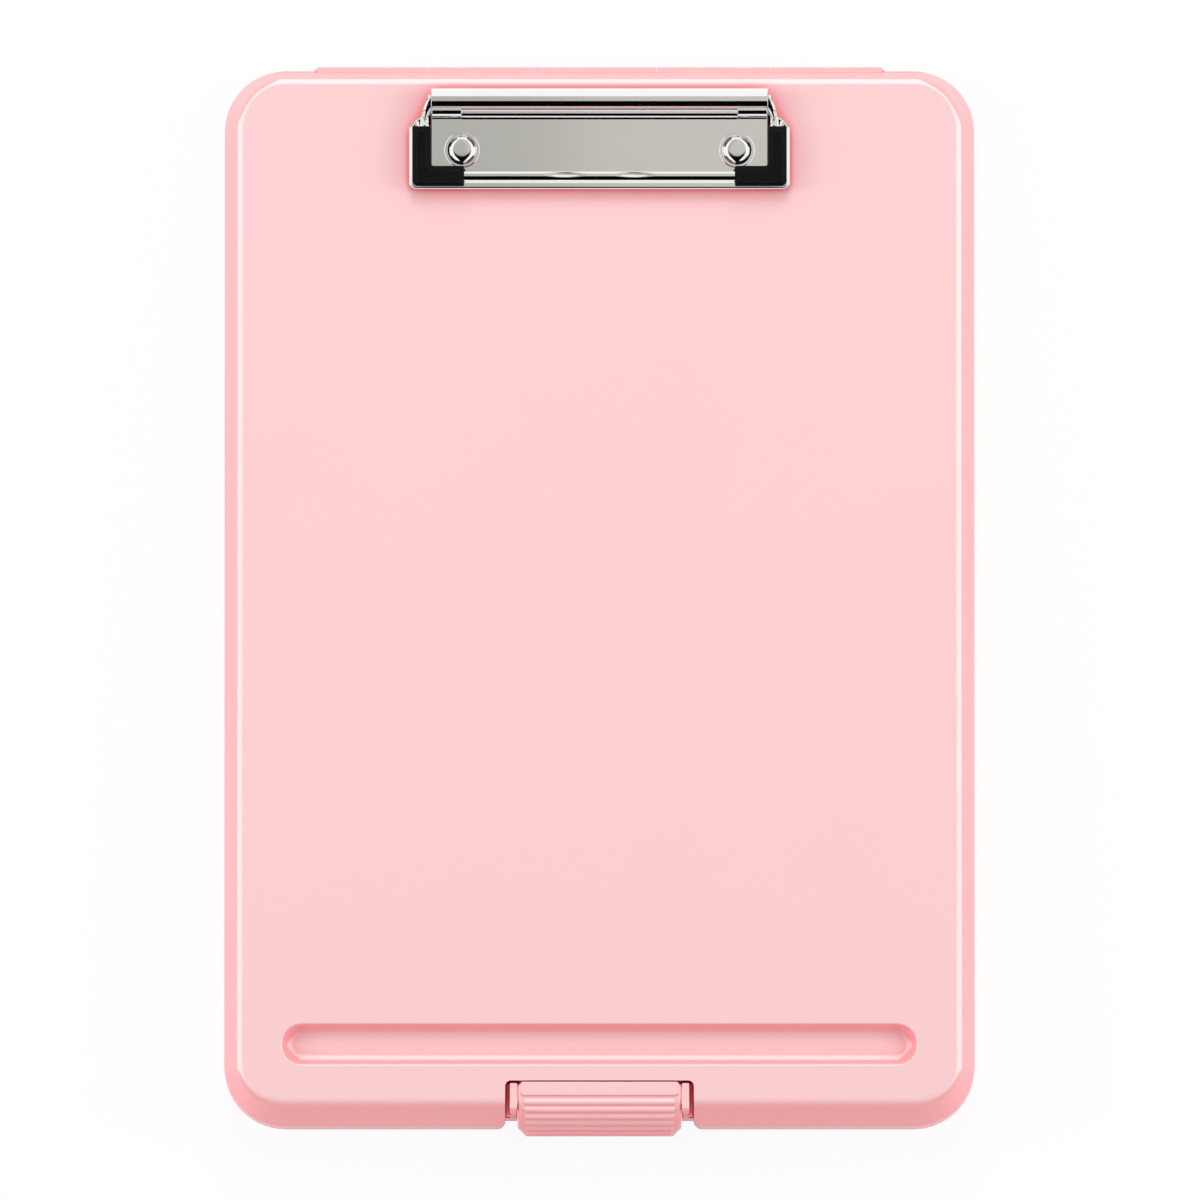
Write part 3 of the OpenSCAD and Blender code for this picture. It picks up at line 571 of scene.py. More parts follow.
@made_once
def plated_chrome(tree, finish):
    """Bright chromium on pressed steel: mirror-like, a little wavy, with hair-fine wiping marks."""
    place = add_node(tree, "TexCoord")
    along = add_node(tree, "Mapping", {"Scale": (0.12, 1.0, 1.0), "Vector": (place, "Object")}), "Vector"
    # wiping marks along the clip, drawn 0.4 mm apart so that they show
    marks, waves = noise(tree, along, 2500.0, 2.0), noise(tree, along, 60.0, 1.0)
    end_surface(tree, waves, 0.3, 0.00003, Base_Color=(*finish.chrome, 1), Metallic=1.0,
                Roughness=ranged(tree, marks, 0.04, 0.09))


@made_once
def drawn_steel(tree, finish):
    """Drawn steel wire and rod: grey, half dull, with fine lines along the wire."""
    place = add_node(tree, "TexCoord")
    along = add_node(tree, "Mapping", {"Scale": (0.05, 1.0, 1.0), "Vector": (place, "Object")}), "Vector"
    lines = noise(tree, along, 6000.0, 2.0)
    end_surface(tree, lines, 0.3, 0.00002, Base_Color=(*finish.steel, 1), Metallic=1.0,
                Roughness=ranged(tree, lines, 0.25, 0.42))


@made_once
def moulded_rubber(tree, finish):
    """Moulded black rubber: near black, soft gloss, slightly uneven skin."""
    place = add_node(tree, "TexCoord")
    # uneven skin of the moulding, 1 mm across
    skin = noise(tree, (place, "Object"), 1000.0, 3.0)
    shade = ranged(tree, skin, 0.75, 1.25)
    body = add_node(tree, "VectorMath", {0: finish.rubber[:], "Scale": shade}, operation="SCALE"), "Vector"
    end_surface(tree, skin, 0.2, 0.00004, IOR=1.52, Specular_IOR_Level=0.12, Base_Color=body,
                Roughness=ranged(tree, skin, 0.26, 0.42))


# ---- case ----

def case_outline(case, segments=14):
    """Points of the case's outline from above, each with its outward normal."""
    r = case.corner
    points = []
    for x, y, start in ((case.half - r, case.front + r, -90), (case.half - r, case.back - r, 0),
                        (r - case.half, case.back - r, 90), (r - case.half, case.front + r, 180)):
        middle = Vector((x, y))
        points += [(p, (p - middle).normalized()) for p in arc(middle, r, start, start + 90, segments)]
    return points


def case_rings(case, profile):
    """Rings round the case: profile gives (inset, z) points for an outward normal."""
    columns = []
    for point, normal in case_outline(case):
        columns.append([(*(point - normal * inset), z) for inset, z in profile(normal)])
    return [list(ring) for ring in zip(*columns)]


def by_side(normal, side, hinge, front):
    """A value that turns smoothly from the side's to the hinge end's or the front's round a corner."""
    end = hinge if normal.y > 0 else front
    return side * normal.x ** 2 + end * normal.y ** 2


def lid_skin(case):
    """The lid's outside: band, slope and rounded shoulder up to the writing face."""
    slope_z = case.lid_z + case.band

    def profile(normal):
        edge = by_side(normal, case.side_edge, case.hinge_edge, case.front_edge)
        radius = by_side(normal, case.shoulder, case.shoulder, case.front_shoulder)
        rise = case.height - radius - slope_z
        tilt = math.atan2(rise, edge) + math.asin(radius / math.hypot(rise, edge))
        apex = (case.height - slope_z) / math.tan(tilt)
        return fillet_path([(case.soft, case.lid_z), (0, case.lid_z), (0, slope_z), (apex, case.height),
                            (edge + 0.5, case.height)], [case.soft * 0.9, 0.7, radius], 8)

    return loft(case_rings(case, profile))


def lid_hollow(case, latch):
    """The space inside the lid, less the walls round the notch and the trough of the pen groove."""
    slope = case.side_edge - 2

    def profile(normal):
        return fillet_path([(case.cavity, case.lid_z - 1), (case.cavity, case.lid_z + case.band),
                            (case.cavity + slope, case.panel_z), (case.cavity + slope + 3, case.panel_z)],
                           [1.5, 1.5], 5)

    walls = box(-latch.block, latch.block, case.front - 1, latch.notch_back + case.divider_t, 0, FAR)
    r, low = (case.groove_w + case.groove_t) / 2, case.height - case.groove_d - case.groove_t
    reach = (case.groove_l + case.groove_t) / 2 - r
    trough = stadium_loft(reach, case.groove_y,
                          fillet_path([(0.01, low), (r, low), (r, case.height + 2)], [1.2], 5))
    return combined(loft(case_rings(case, profile)), ("DIFFERENCE", walls), ("DIFFERENCE", trough))


def stadium_loft(reach, y, profile, segments=20):
    """A round-ended bar along X: profile gives (radius, z) points from its middle line outwards."""
    rings = []
    for r, z in profile:
        right = [(reach + p.x, y + p.y, z) for p in arc((0, 0), r, -90, 90, segments)]
        left = [(p.x - reach, y + p.y, z) for p in arc((0, 0), r, 90, 270, segments)]
        rings.append(right + left)
    return loft(rings)


def pen_groove(case):
    """Cutter for the pen groove: a dished floor, steep walls and a rim rolled over into the face."""
    r1, floor = case.groove_w / 2, case.height - case.groove_d
    rim, dish = 0.8, 3.0
    wall = math.radians(54)
    top = r1 - rim * math.tan(wall / 2)
    foot = top - case.groove_d / math.tan(wall)
    # the cutter comes out of the face a hair above it
    out = case.height + 0.004
    path = fillet_path([(0.01, floor), (foot, floor), (top, case.height), (r1 + 0.6, out)], [dish, rim], 9)
    path[-1:] = [(r1 + 0.1, out), (r1 + 0.1, case.height + 3)]
    return stadium_loft((case.groove_l - case.groove_w) / 2, case.groove_y, path)


def notch_outline(case, latch, back, inner_r):
    """Plan of the notch in the front edge, open to the front, its mouth rounded."""
    half, r, front = latch.notch_half, case.mouth_r, case.front
    points = [(-half - r - 0.2, front - 5), (-half - r - 0.2, front - 0.004),
              *arc((-half - r, front + r), r, -86, 0, 10)]
    if inner_r:
        points += arc((-half + inner_r, back - inner_r), inner_r, 180, 90, 6)
    return points + [(-x, y) for x, y in reversed(points)]


def hinge_knuckles(case, first, radius, grow):
    """Every other knuckle of the hinge as one mesh."""
    step = case.hinge_l / case.knuckles
    parts = []
    for i in range(first, case.knuckles, 2):
        left = -case.hinge_l / 2 + i * step + case.knuckle_gap / 2 - grow
        right = left + step - case.knuckle_gap + 2 * grow
        ends = [0.06 if grow == 0 else 0] * 2
        profile, taper = plug(radius, left, right), case.hinge_taper
        if grow == 0 and i == 0:
            profile[1:2] = [(radius - taper, left), (radius, left + taper)]
            ends = [0.3, 0.3, 0.06]
        if grow == 0 and i == case.knuckles - 1:
            profile[2:3] = [(radius, right - taper), (radius - taper, right)]
            ends = [0.06, 0.3, 0.3]
        parts.append(turned(fillet_path(profile, ends, 3), (0, *case.hinge), "X", 40))
    return joined(*parts)


def hinge_relief(case, shrink=0):
    """Rounds beyond the barrel's ends: cut from the lid so that its rear edge turns past the tray, and a
    little slimmer on the tray, so that no slot is left open there."""
    r = case.hinge_d / 2 + case.knuckle_room - shrink
    start, end = case.hinge_l / 2 - shrink, case.half - case.corner + 1
    tip = max(0.01, case.knuckle_room - shrink)
    outline = [(0, start), (r, start), (r, end), (tip, end + 8), (0, end + 8)]
    return both_sides(turned(outline, (0, *case.hinge), "X", 40))


class CLIPBOX_OT_lid(bpy.types.Operator):
    """Model the lid: writing face, shoulders, pen groove, latch notch and hinge knuckles"""
    bl_idname = "clipbox.lid"
    bl_label = "Lid"

    def execute(self, context):
        case, latch, clip = sizes()
        inset = case.wall + case.lip_gap

        def lip_profile(normal):
            low, high = case.lid_z - case.lip_d, case.lid_z + case.band / 2
            return [(inset, high), (inset, low + 0.3), (inset + 0.3, low), (case.cavity - 0.3, low),
                    (case.cavity, low + 0.3), (case.cavity, high)]

        rings, lip_end = case_rings(case, lip_profile), latch.block + case.lip_gap
        opening = box(-lip_end, lip_end, case.front - 1, case.front + case.corner, 0, FAR)
        lip = combined(loft(rings + rings[:1], cap=False), ("DIFFERENCE", opening))
        ledge_half = latch.width / 2 - latch.cheek - latch.gap
        ledge_top = latch.centre[1] + latch.inner - latch.gap - 0.15
        ledge_back = latch.notch_back + case.divider_t / 2
        ledge_front = latch.notch_back - latch.gap - latch.pad + 0.2
        ledge = box(-ledge_half, ledge_half, ledge_front, ledge_back, ledge_top - latch.ledge, ledge_top)
        notch = notch_outline(case, latch, latch.notch_back, case.notch_r)
        lid = combined(
            lid_skin(case),
            ("DIFFERENCE", lid_hollow(case, latch)),
            ("UNION", lip),
            ("UNION", hinge_knuckles(case, 1, case.hinge_d / 2, 0)),
            ("DIFFERENCE", prism_z(notch, case.lid_z - 4, FAR)),
            ("DIFFERENCE", pen_groove(case)),
            ("DIFFERENCE", at_rivets(clip, plug(clip.hole, case.panel_z - 1, FAR), 24)),
            ("DIFFERENCE", hinge_knuckles(case, 0, case.hinge_d / 2 + case.knuckle_room, case.knuckle_gap)),
            ("DIFFERENCE", hinge_relief(case)),
            ("UNION", soften(ledge, 0.35)),
        )

        def at_notch(p):
            return abs(p.x) < latch.notch_half + 4 and p.y < latch.notch_back + 0.5 and p.z > case.lid_z + 0.2

        soften(lid, 0.5, 4, 30, at_notch)
        piece("lid_shell", lid, moulded_polypropylene(), "lid", "lid")
        return {"FINISHED"}


class CLIPBOX_OT_tray(bpy.types.Operator):
    """Model the tray: floor, walls, divider, latch pocket with its ears, and hinge knuckles"""
    bl_idname = "clipbox.tray"
    bl_label = "Tray"

    def execute(self, context):
        case, latch, _ = sizes()

        def outside(normal):
            corners = [(case.foot + 3, 0), (case.foot, 0), (0, case.foot), (0, case.rim), (2, case.rim)]
            return fillet_path(corners, [0.8, 0.8, case.soft], 4)

        def inside(normal):
            corners = [(case.wall + 4, case.floor), (case.wall, case.floor), (case.wall, FAR)]
            return fillet_path(corners, [1.5], 5)

        block_back, divider_top = latch.pocket_back + case.divider_t, case.floor + case.divider_h
        block = box(-latch.block, latch.block, case.front - 1, block_back, 0, case.rim)
        divider = box(-case.half, case.half, case.divider - case.divider_t, case.divider, 0, divider_top)
        room = loft(case_rings(case, inside))
        room = combined(room, ("DIFFERENCE", soften(divider, 0.5)), ("DIFFERENCE", block))
        ear_front = case.front + case.mouth_r
        ear_side = [(latch.pocket_back, case.rim - 1), (latch.pocket_back, latch.ear_top),
                    (latch.pocket_back - latch.ear_flat, latch.ear_top), (ear_front, case.rim + 1),
                    (ear_front, case.rim - 1)]
        ear_side = fillet_loop(ear_side, [0, 0.6, 1.0, 0.8, 0], 5)
        ear = soften(prism_x(ear_side, latch.ear_in, latch.ear_out), 0.3, 3, 60)
        ear_foot = soften(box(latch.ear_out - 0.5, latch.notch_half - 0.2, ear_front + 0.4, latch.pocket_back,
                              case.rim - 1, case.rim + 4.5), 0.4)
        pocket = box(-latch.ear_in, latch.ear_in, case.front - 20, latch.pocket_back, -1, FAR)
        step = prism_z(notch_outline(case, latch, 0, 0), -1, case.rim + 1)
        upright = loft(case_rings(case, lambda normal: [(0.02, 1), (0.02, FAR)]))
        backing = combined(hinge_relief(case, case.knuckle_room + 0.1), ("INTERSECT", upright))
        tray = combined(
            loft(case_rings(case, outside)),
            ("DIFFERENCE", room),
            ("UNION", both_sides(ear)),
            ("UNION", both_sides(ear_foot)),
            ("UNION", backing),
            ("UNION", hinge_knuckles(case, 0, case.hinge_d / 2, 0)),
            ("DIFFERENCE", pocket),
            ("DIFFERENCE", step),
            ("DIFFERENCE", rod(-latch.ear_out - 0.5, latch.ear_out + 0.5, case.bore, latch.pin, 0)),
            ("DIFFERENCE", hinge_knuckles(case, 1, case.hinge_d / 2 + case.knuckle_room, case.knuckle_gap)),
        )

        def at_front(p):
            return abs(p.x) < latch.notch_half + 4 and p.y < latch.pocket_back + 1

        soften(tray, 0.3, 3, 35, at_front)
        piece("tray_shell", tray, moulded_polypropylene(), "tray", "base_tray")
        return {"FINISHED"}


class CLIPBOX_OT_latch(bpy.types.Operator):
    """Model the latch: hooked pad, curved face with finger ridges, side walls and hubs"""
    bl_idname = "clipbox.latch"
    bl_label = "Latch"

    def execute(self, context):
        case, latch, _ = sizes()
        half, drop, r = latch.width / 2, latch.ridge_drop, latch.ridge_r
        cy, cz = latch.centre
        bare = latch.radius - drop
        # the pad's half width and front edge before its corners are rounded, their radius and its slope
        pad_half, pad_front, pad_r, pad_slope = half - 1.85, -0.65, 1, 0.5

        def raised(x, s):
            """Height of the pad and the ridges over the bare face at x, s along the curve from its top."""
            outside = math.hypot(max(0, abs(x) - pad_half), max(0, s - pad_front)) - pad_r
            edge = clamped(0.5 - outside / pad_slope)
            height = drop * edge * edge * (3 - 2 * edge)
            for i in range(latch.ridges):
                middle = latch.ridge_step * (i + 1) * latch.radius
                # each ridge is a little shorter than the one above it
                end = half - latch.ridge_margin + 0.45 - 0.16 * i
                aside = math.hypot(2 * max(0, abs(x) - end), s - middle)
                if aside < r:
                    height = max(height, math.sqrt(r * r - aside * aside) - r + drop)
            return height

        def section(x):
            """Side outline of the shell at x: back edge, pad, curve, lower edge and inside."""
            d, soft, round_back = half - abs(x), 0.6, 0.4
            edge = soft - math.sqrt(max(0, soft ** 2 - max(0, soft - d) ** 2))
            limit = latch.tip + max(0, latch.corner - d)
            back = latch.back - 0.85 * max(0, 1.4 - d) - edge
            top = cz + bare - edge + raised(x, -1)
            outline = [(back - round_back * (1 - math.sin(t)), top - round_back * (1 - math.cos(t)))
                       for t in (math.pi / 2, 1.18, 0.79, 0.39, 0)]
            outline.append((cy + 0.5, top))
            for i in range(113):
                t = math.radians(0.8 * i)
                reach = bare - edge + raised(x, t * latch.radius)
                outline.append((max(cy - latch.bulge * reach * math.sin(t), limit), cz + reach * math.cos(t)))
            foot = max(cy - latch.bulge * (bare - edge), limit)
            inside = max(cy - latch.inner, foot + 0.6)
            outline += [(foot, latch.bottom + 0.4), (foot + 0.3, latch.bottom),
                        (inside - 0.2, latch.bottom), (inside, latch.bottom + 0.3)]
            outline += [(max(y, limit + 0.3), z) for y, z in arc(latch.centre, latch.inner, 180, 90, 40)]
            return outline + [(back, cz + latch.inner)]

        # sections this far from each end, close together where the shape turns
        ends = [0, 0.04, 0.1, 0.2, 0.35, 0.6, 0.75, 0.85, 0.95, 1.1, 1.3, 1.6, 1.85, 2.0, 2.15, 2.3, 2.45,
                2.6, 2.75, 2.9, 3.05, 3.2, 3.4, 3.7, 4.5]
        stations = [-half + d for d in ends] + [half - d for d in reversed(ends)]
        shell = loft([[(x, *p) for p in section(x)] for x in stations])
        reach = latch.inner + latch.thickness / 2
        hub_r = case.rod_d / 2 + latch.hub
        cheek = [(cy - reach, latch.bottom + 1), (cy - reach, cz), *arc(latch.centre, reach, 180, 92, 24),
                 (cy - latch.gap, cz), (latch.pin[0] + hub_r, cz - 0.5), *arc(latch.pin, hub_r, 0, -80, 14)]
        cheek = soften(prism_x(cheek, half - latch.cheek, half - 0.15), 0.3, 2, 50)
        front, reach = latch.front + 0.4, half - latch.corner
        plan = [(-half, 0), (-half, front + latch.corner), (-reach, front), (reach, front),
                (half, front + latch.corner), (half, 0)]
        bore = rod(-half - 1, half + 1, case.bore, latch.pin, 0)
        cheeks = combined(both_sides(cheek), ("INTERSECT", prism_z(plan, 0, FAR)))
        whole = combined(shell, ("UNION", cheeks), ("DIFFERENCE", bore))
        piece("latch_shell", whole, moulded_polypropylene(), "latch", "latch", smooth=40)
        return {"FINISHED"}


# ---- rods, springs and washers ----

class CLIPBOX_OT_rods(bpy.types.Operator):
    """Model the hinge rod, latch pin and clip rod with rounded ends, and the washers under the lid"""
    bl_idname = "clipbox.rods"
    bl_label = "Rods and washers"

    def execute(self, context):
        case, latch, clip = sizes()
        for name, end, centre, body, node in (
                ("hinge_rod", case.hinge_l / 2 - 1.5, case.hinge, "tray", "hinge_pin"),
                ("latch_rod", latch.ear_out - 0.5, latch.pin, "tray", "latch_pin"),
                ("clip_rod", clip.window + clip.sheet + 0.4, clip.axis, "lid", "clip_pivot_pin")):
            piece(name, rod(-end, end, case.rod_d / 2, centre), drawn_steel(), body, node)
        top, low, inside, outside = case.panel_z, case.panel_z - clip.washer_t, clip.hole, clip.washer
        ring = fillet_loop([(inside, low), (outside, low), (outside, top), (inside, top)], 0.12, 2)
        washers = at_rivets(clip, ring + ring[:1])
        piece("washers", washers, drawn_steel(), "lid", "rivet_washers")
        return {"FINISHED"}


class CLIPBOX_OT_springs(bpy.types.Operator):
    """Wind the two torsion springs as round wire with straight legs"""
    bl_idname = "clipbox.springs"
    bl_label = "Springs"

    def execute(self, context):
        case, _, clip = sizes()
        coil_r, pitch, turns, leg = case.rod_d / 2 + 0.13 + clip.wire / 2, 0.95, 8.5, 3.2
        per_turn = 24
        path = [Vector((0, leg, -coil_r)), Vector((0, leg / 2, -coil_r))]
        for i in range(int(turns * per_turn) + 1):
            a = math.radians(-90 - 360 * i / per_turn)
            path.append(Vector((pitch * i / per_turn, coil_r * math.cos(a), coil_r * math.sin(a))))
        path += [Vector((pitch * turns, leg * k / 2, coil_r - 0.4 * k)) for k in (1, 2)]
        for name, side in (("clip_spring_left", -1), ("clip_spring_right", 1)):
            curve = bpy.data.curves.new(name, "CURVE")
            curve.dimensions, curve.bevel_depth, curve.bevel_resolution = "3D", clip.wire / 2, 3
            curve.use_fill_caps = True
            line = curve.splines.new("POLY")
            line.points.add(len(path) - 1)
            for point, p in zip(line.points, path):
                point.co = (side * (p.x + clip.spring_x), p.y + clip.axis[0], p.z + clip.axis[1], 1)
            wire = placed("wire", curve)
            bm = bmesh.new()
            mesh = bpy.data.meshes.new_from_object(wire.evaluated_get(context.evaluated_depsgraph_get()))
            bm.from_mesh(mesh)
            bpy.data.objects.remove(wire)
            bpy.data.curves.remove(curve)
            bpy.data.meshes.remove(mesh)
            piece(f"wound_{name}", cleaned(bm), drawn_steel(), "lid", name, smooth=50)
        return {"FINISHED"}


# ---- clip ----

class CLIPBOX_OT_plate(bpy.types.Operator):
    """Model the clip's fixed plate with its rolled barrel and the raised seats of the rivets"""
    bl_idname = "clipbox.plate"
    bl_label = "Clip plate"

    def execute(self, context):
        case, _, clip = sizes()
        ay, az = clip.axis
        low, top = case.height, clip.plate_top
        foot, side = clip.window_y - 0.4, clip.front + clip.sheet + clip.grip_foot - 1 + clip.gap
        corners = [(-clip.tab, foot), (clip.tab, foot), (clip.tab, side), (clip.plate_half, side),
                   (clip.plate_half, ay + 1), (38, ay + 1), (36, ay + 4), (-36, ay + 4), (-38, ay + 1),
                   (-clip.plate_half, ay + 1), (-clip.plate_half, side), (-clip.tab, side)]
        rounds = [0.5, 0.5, 0.5, 1.5, 0.5, 0.6, 0.8, 0.8, 0.6, 0.5, 1.5, 0.5]
        flat = soften(prism_z(fillet_loop(corners, rounds, 5), low, top), 0.12, 2, 60)
        # rolled barrel: up from the plate, round the rod and open to the rear over the springs
        r, wall, high = clip.barrel, clip.barrel_wall, az + clip.barrel
        outside = [(ay - r, top - 0.3), (ay - r, high), (ay - 0.4, high + 0.05), (ay + 1.3, high - 0.75)]
        under = [(ay + 1.1, high - 0.75 - wall), (ay - 0.5, high - wall), (ay - r + wall, high - wall),
                 (ay - r + wall, top - 0.3)]
        roll = fillet_path(outside, [1.1, 2.4], 9) + fillet_path(under, [1.9, 0.6], 9)
        middle, end = clip.plate_half - clip.barrel_end, clip.plate_half
        open_part = soften(prism_x(roll, -middle, middle), 0.1, 2, 60)
        tube = fillet_path([(case.bore, middle), (r, middle), (r, end), (case.bore, end)], [0.15, 0.3], 3)
        closed_parts = both_sides(turned(tube + tube[:1], (0, ay, az), "X", 40))
        below = box(-80, 80, ay - 8, ay + 8, low - 8, low + 0.02)
        closed_parts = combined(closed_parts, ("DIFFERENCE", below))
        seat = [(clip.hole, top - 0.3), (clip.hole, top + 0.05), (5.45, top + 0.05), (5.8, top - 0.02),
                (5.8, top - 0.3), (clip.hole, top - 0.3)]
        seats = at_rivets(clip, fillet_path(seat, [0, 0.5, 0, 0], 4))
        holes = at_rivets(clip, plug(clip.hole, low - 1, FAR), 24)
        whole = combined(flat, ("UNION", open_part), ("UNION", closed_parts), ("DIFFERENCE", holes))
        whole = joined(whole, seats)
        piece("pressed_plate", whole, plated_chrome(), "lid", "clip_plate")
        return {"FINISHED"}


class CLIPBOX_OT_rivets(bpy.types.Operator):
    """Turn the two rivets: domed heads, shanks and turned-over tails"""
    bl_idname = "clipbox.rivets"
    bl_label = "Rivets"

    def execute(self, context):
        case, _, clip = sizes()
        head, shank, top = clip.rivet_d / 2, 2, clip.plate_top + 0.12
        # nearly level crown inside a rolled-over rim
        rim, level = 2.5, 2.6
        crown = arc((level, top + clip.rivet_h - 0.02 - rim), rim, 32, 88, 14)
        crown += [(level * k, top + clip.rivet_h - 0.02 * k * k) for k in (0.8, 0.6, 0.4, 0.2, 0)]
        tail_t = 0.8
        tail_z = case.panel_z - clip.washer_t - tail_t
        tail = [(0, tail_z), (clip.tail, tail_z), (clip.tail, tail_z + tail_t), (shank, tail_z + tail_t)]
        tail = fillet_path(tail, [0.5, 0.15], 4)
        rivets = at_rivets(clip, [*tail, (shank, top), (head - 0.1, top), (head, top + 0.1), *crown], 64)
        piece("domed_rivets", rivets, plated_chrome(), "lid", "clip_rivets")
        return {"FINISHED"}


class CLIPBOX_OT_jaw(bpy.types.Operator):
    """Press the swinging jaw: rolled finger lever, pleated necks, arms and beaded lip"""
    bl_idname = "clipbox.jaw"
    bl_label = "Clip jaw"

    def execute(self, context):
        case, _, clip = sizes()
        ay, az = clip.axis
        top, thick, bend, edge = clip.arm_top, clip.sheet, clip.bend, clip.half + 0.25
        corner, neck_end = (edge - bend, clip.front + bend), ay - 5.3
        # the edge of the pressing from the end of the lever down the neck, with the height of the sheet
        neck = [(54.1, ay + 4.2, 31.1), (55, ay + 3.45, 31), (55.75, ay + 2.6, 30.7), (56.3, ay + 1.25, 30.1),
                (56.8, ay - 0.4, 29.7), (57.1, ay - 1.8, 29.3), (57.9, ay - 2.1, 29.2), (59, ay - 3.1, 28.9),
                (60.15, ay - 4, 28.7), (edge, neck_end, top)]
        neck = [Vector(p) for p in neck]
        for _ in range(2):
            cut = [a.lerp(b, share) for a, b in zip(neck, neck[1:]) for share in (0.25, 0.75)]
            neck = [neck[0], *cut, neck[-1]]
        # welts pressed into the neck: their course and half width
        welts = [([(56.35, ay - 0.6), (56.5, ay - 2.4), (56.65, neck_end)], 0.5),
                 ([(53.9, ay + 0.5), (55.2, ay - 1.9), (55.25, neck_end)], 0.35),
                 ([(58.8, ay - 3.2), (58.1, neck_end)], 0.4)]
        welts = [(Vector(start), Vector(end), wide)
                 for course, wide in welts for start, end in zip(course, course[1:])]
        # along the edge: place, matching place on the window's edge, height, share of the neck
        stations = []
        for i, p in enumerate(neck):
            inner_x = clip.window - 0.9 * clamped((p.y - ay) / 4)
            stations.append((p.xy, Vector((inner_x, min(p.y, ay + 3.9))), p.z, 1 - i / (len(neck) - 1)))
        steps = 18
        for k in range(1, steps + 1):
            y = neck_end + (corner[1] - neck_end) * k / steps
            stations.append((Vector((edge, y)), Vector((clip.window, max(y, clip.window_y))), top, 0))
        for p in arc(corner, bend, 0, -90, 6)[1:]:
            stations.append((p, Vector((clip.window, clip.window_y)), top, 0))
        bead_half = clip.half - clip.grip_w - clip.sheet + 0.6
        steps = 58
        along = [corner[0] * (1 - k / steps) for k in range(1, steps + 1)]
        for x in sorted([*along, bead_half - 0.01, bead_half - 0.6], reverse=True):
            stations.append((Vector((x, clip.front)), Vector((min(x, clip.window), clip.window_y)), top, 0))
        bead_in, bead_r = clip.bead - 0.3, clip.bead + 0.25
        # small dents in the lip: where along it, half length, distance from the window, half width and depth
        dents, dent_half, dent_in, dent_wide, dent_deep = (-11.4, 11.1), 5.6, 0.95, 0.8, 0.3

        def lift(place, from_window, share_of_neck):
            """Height above the flat sheet: welts on the neck, bead and two small dents on the lip."""
            height = 0
            if share_of_neck:
                for start, end, wide in welts:
                    line = end - start
                    t = clamped((place - start).dot(line) / line.length_squared)
                    aside = (place - start - line * t).length / wide
                    if aside < 1:
                        height = max(height, wide * math.sqrt(1 - aside * aside))
            elif place.y < clip.window_y + 0.01:
                share = clamped((bead_half - abs(place.x)) / 0.6)
                aside = abs(from_window - bead_in)
                if aside < bead_r:
                    height += share * math.sqrt(bead_r ** 2 - aside ** 2) * 0.7
                for dent in dents:
                    u, v = (place.x - dent) / dent_half, (from_window - dent_in) / dent_wide
                    if u * u + v * v < 1:
                        height -= dent_deep * (1 - u * u - v * v)
            return height

        def cross_section(place, window, z, share_of_neck):
            """Skin of the pressing from the foot of its outer wall to the window's edge, and back."""
            span = (window - place).length
            inward = (window - place) / span
            curl = min(1.15 - 0.55 * clamped((corner[1] - place.y) / bend), 0.4 * span)
            foot = case.height + clip.gap + 0.2 + share_of_neck * 1.6
            turn = [math.radians(a) for a in range(0, 91, 10)]
            skin = [(0, foot)] + [(curl * (1 - math.cos(t)), z - curl * (1 - math.sin(t))) for t in turn]
            skin += [(curl + (span - curl) * k / 30, z) for k in range(1, 31)]
            points = []
            for d, height in skin:
                p = place + inward * d
                rise = lift(p, span - d, share_of_neck) if height > z - 0.3 else 0
                points.append((*p, height + rise))
            for (_, _, height), (d, _) in zip(points[::-1], skin[::-1]):
                p = place + inward * max(d, thick)
                points.append((*p, max(foot, height - (thick if d > thick * 0.6 else thick * 0.4))))
            return points

        half_jaw = [cross_section(*s) for s in stations]
        frame_part = loft(half_jaw + [[(-x, y, z) for x, y, z in ring] for ring in half_jaw[:-1]][::-1])
        # the lever's roll, from its hidden front edge over the top to the rear
        start, end = 113.5, 33
        strip = arc(clip.lever, clip.lever_r, start, end, 32)
        strip += arc(clip.lever, clip.lever_r - thick, end, start, 30)
        lever = soften(prism_x(strip, -clip.lever_w / 2, clip.lever_w / 2), 0.3, 3, 50)
        cheek = [(ay - 1.5, az + 0.6), *arc(clip.lever, clip.lever_r - 1, 105, 60, 8),
                 (ay + 1.6, az - 0.9), *arc(clip.axis, clip.barrel - 0.2, -20, -200, 16)]
        cheek = soften(prism_x(cheek, clip.window, clip.window + thick), 0.15, 2, 60)
        bore = rod(clip.window - 1, clip.window + thick + 1, case.bore, clip.axis, 0)
        whole = joined(frame_part, lever, both_sides(combined(cheek, ("DIFFERENCE", bore))))
        piece("pressed_jaw", whole, plated_chrome(), "jaw", "clip_jaw", smooth=40)
        return {"FINISHED"}


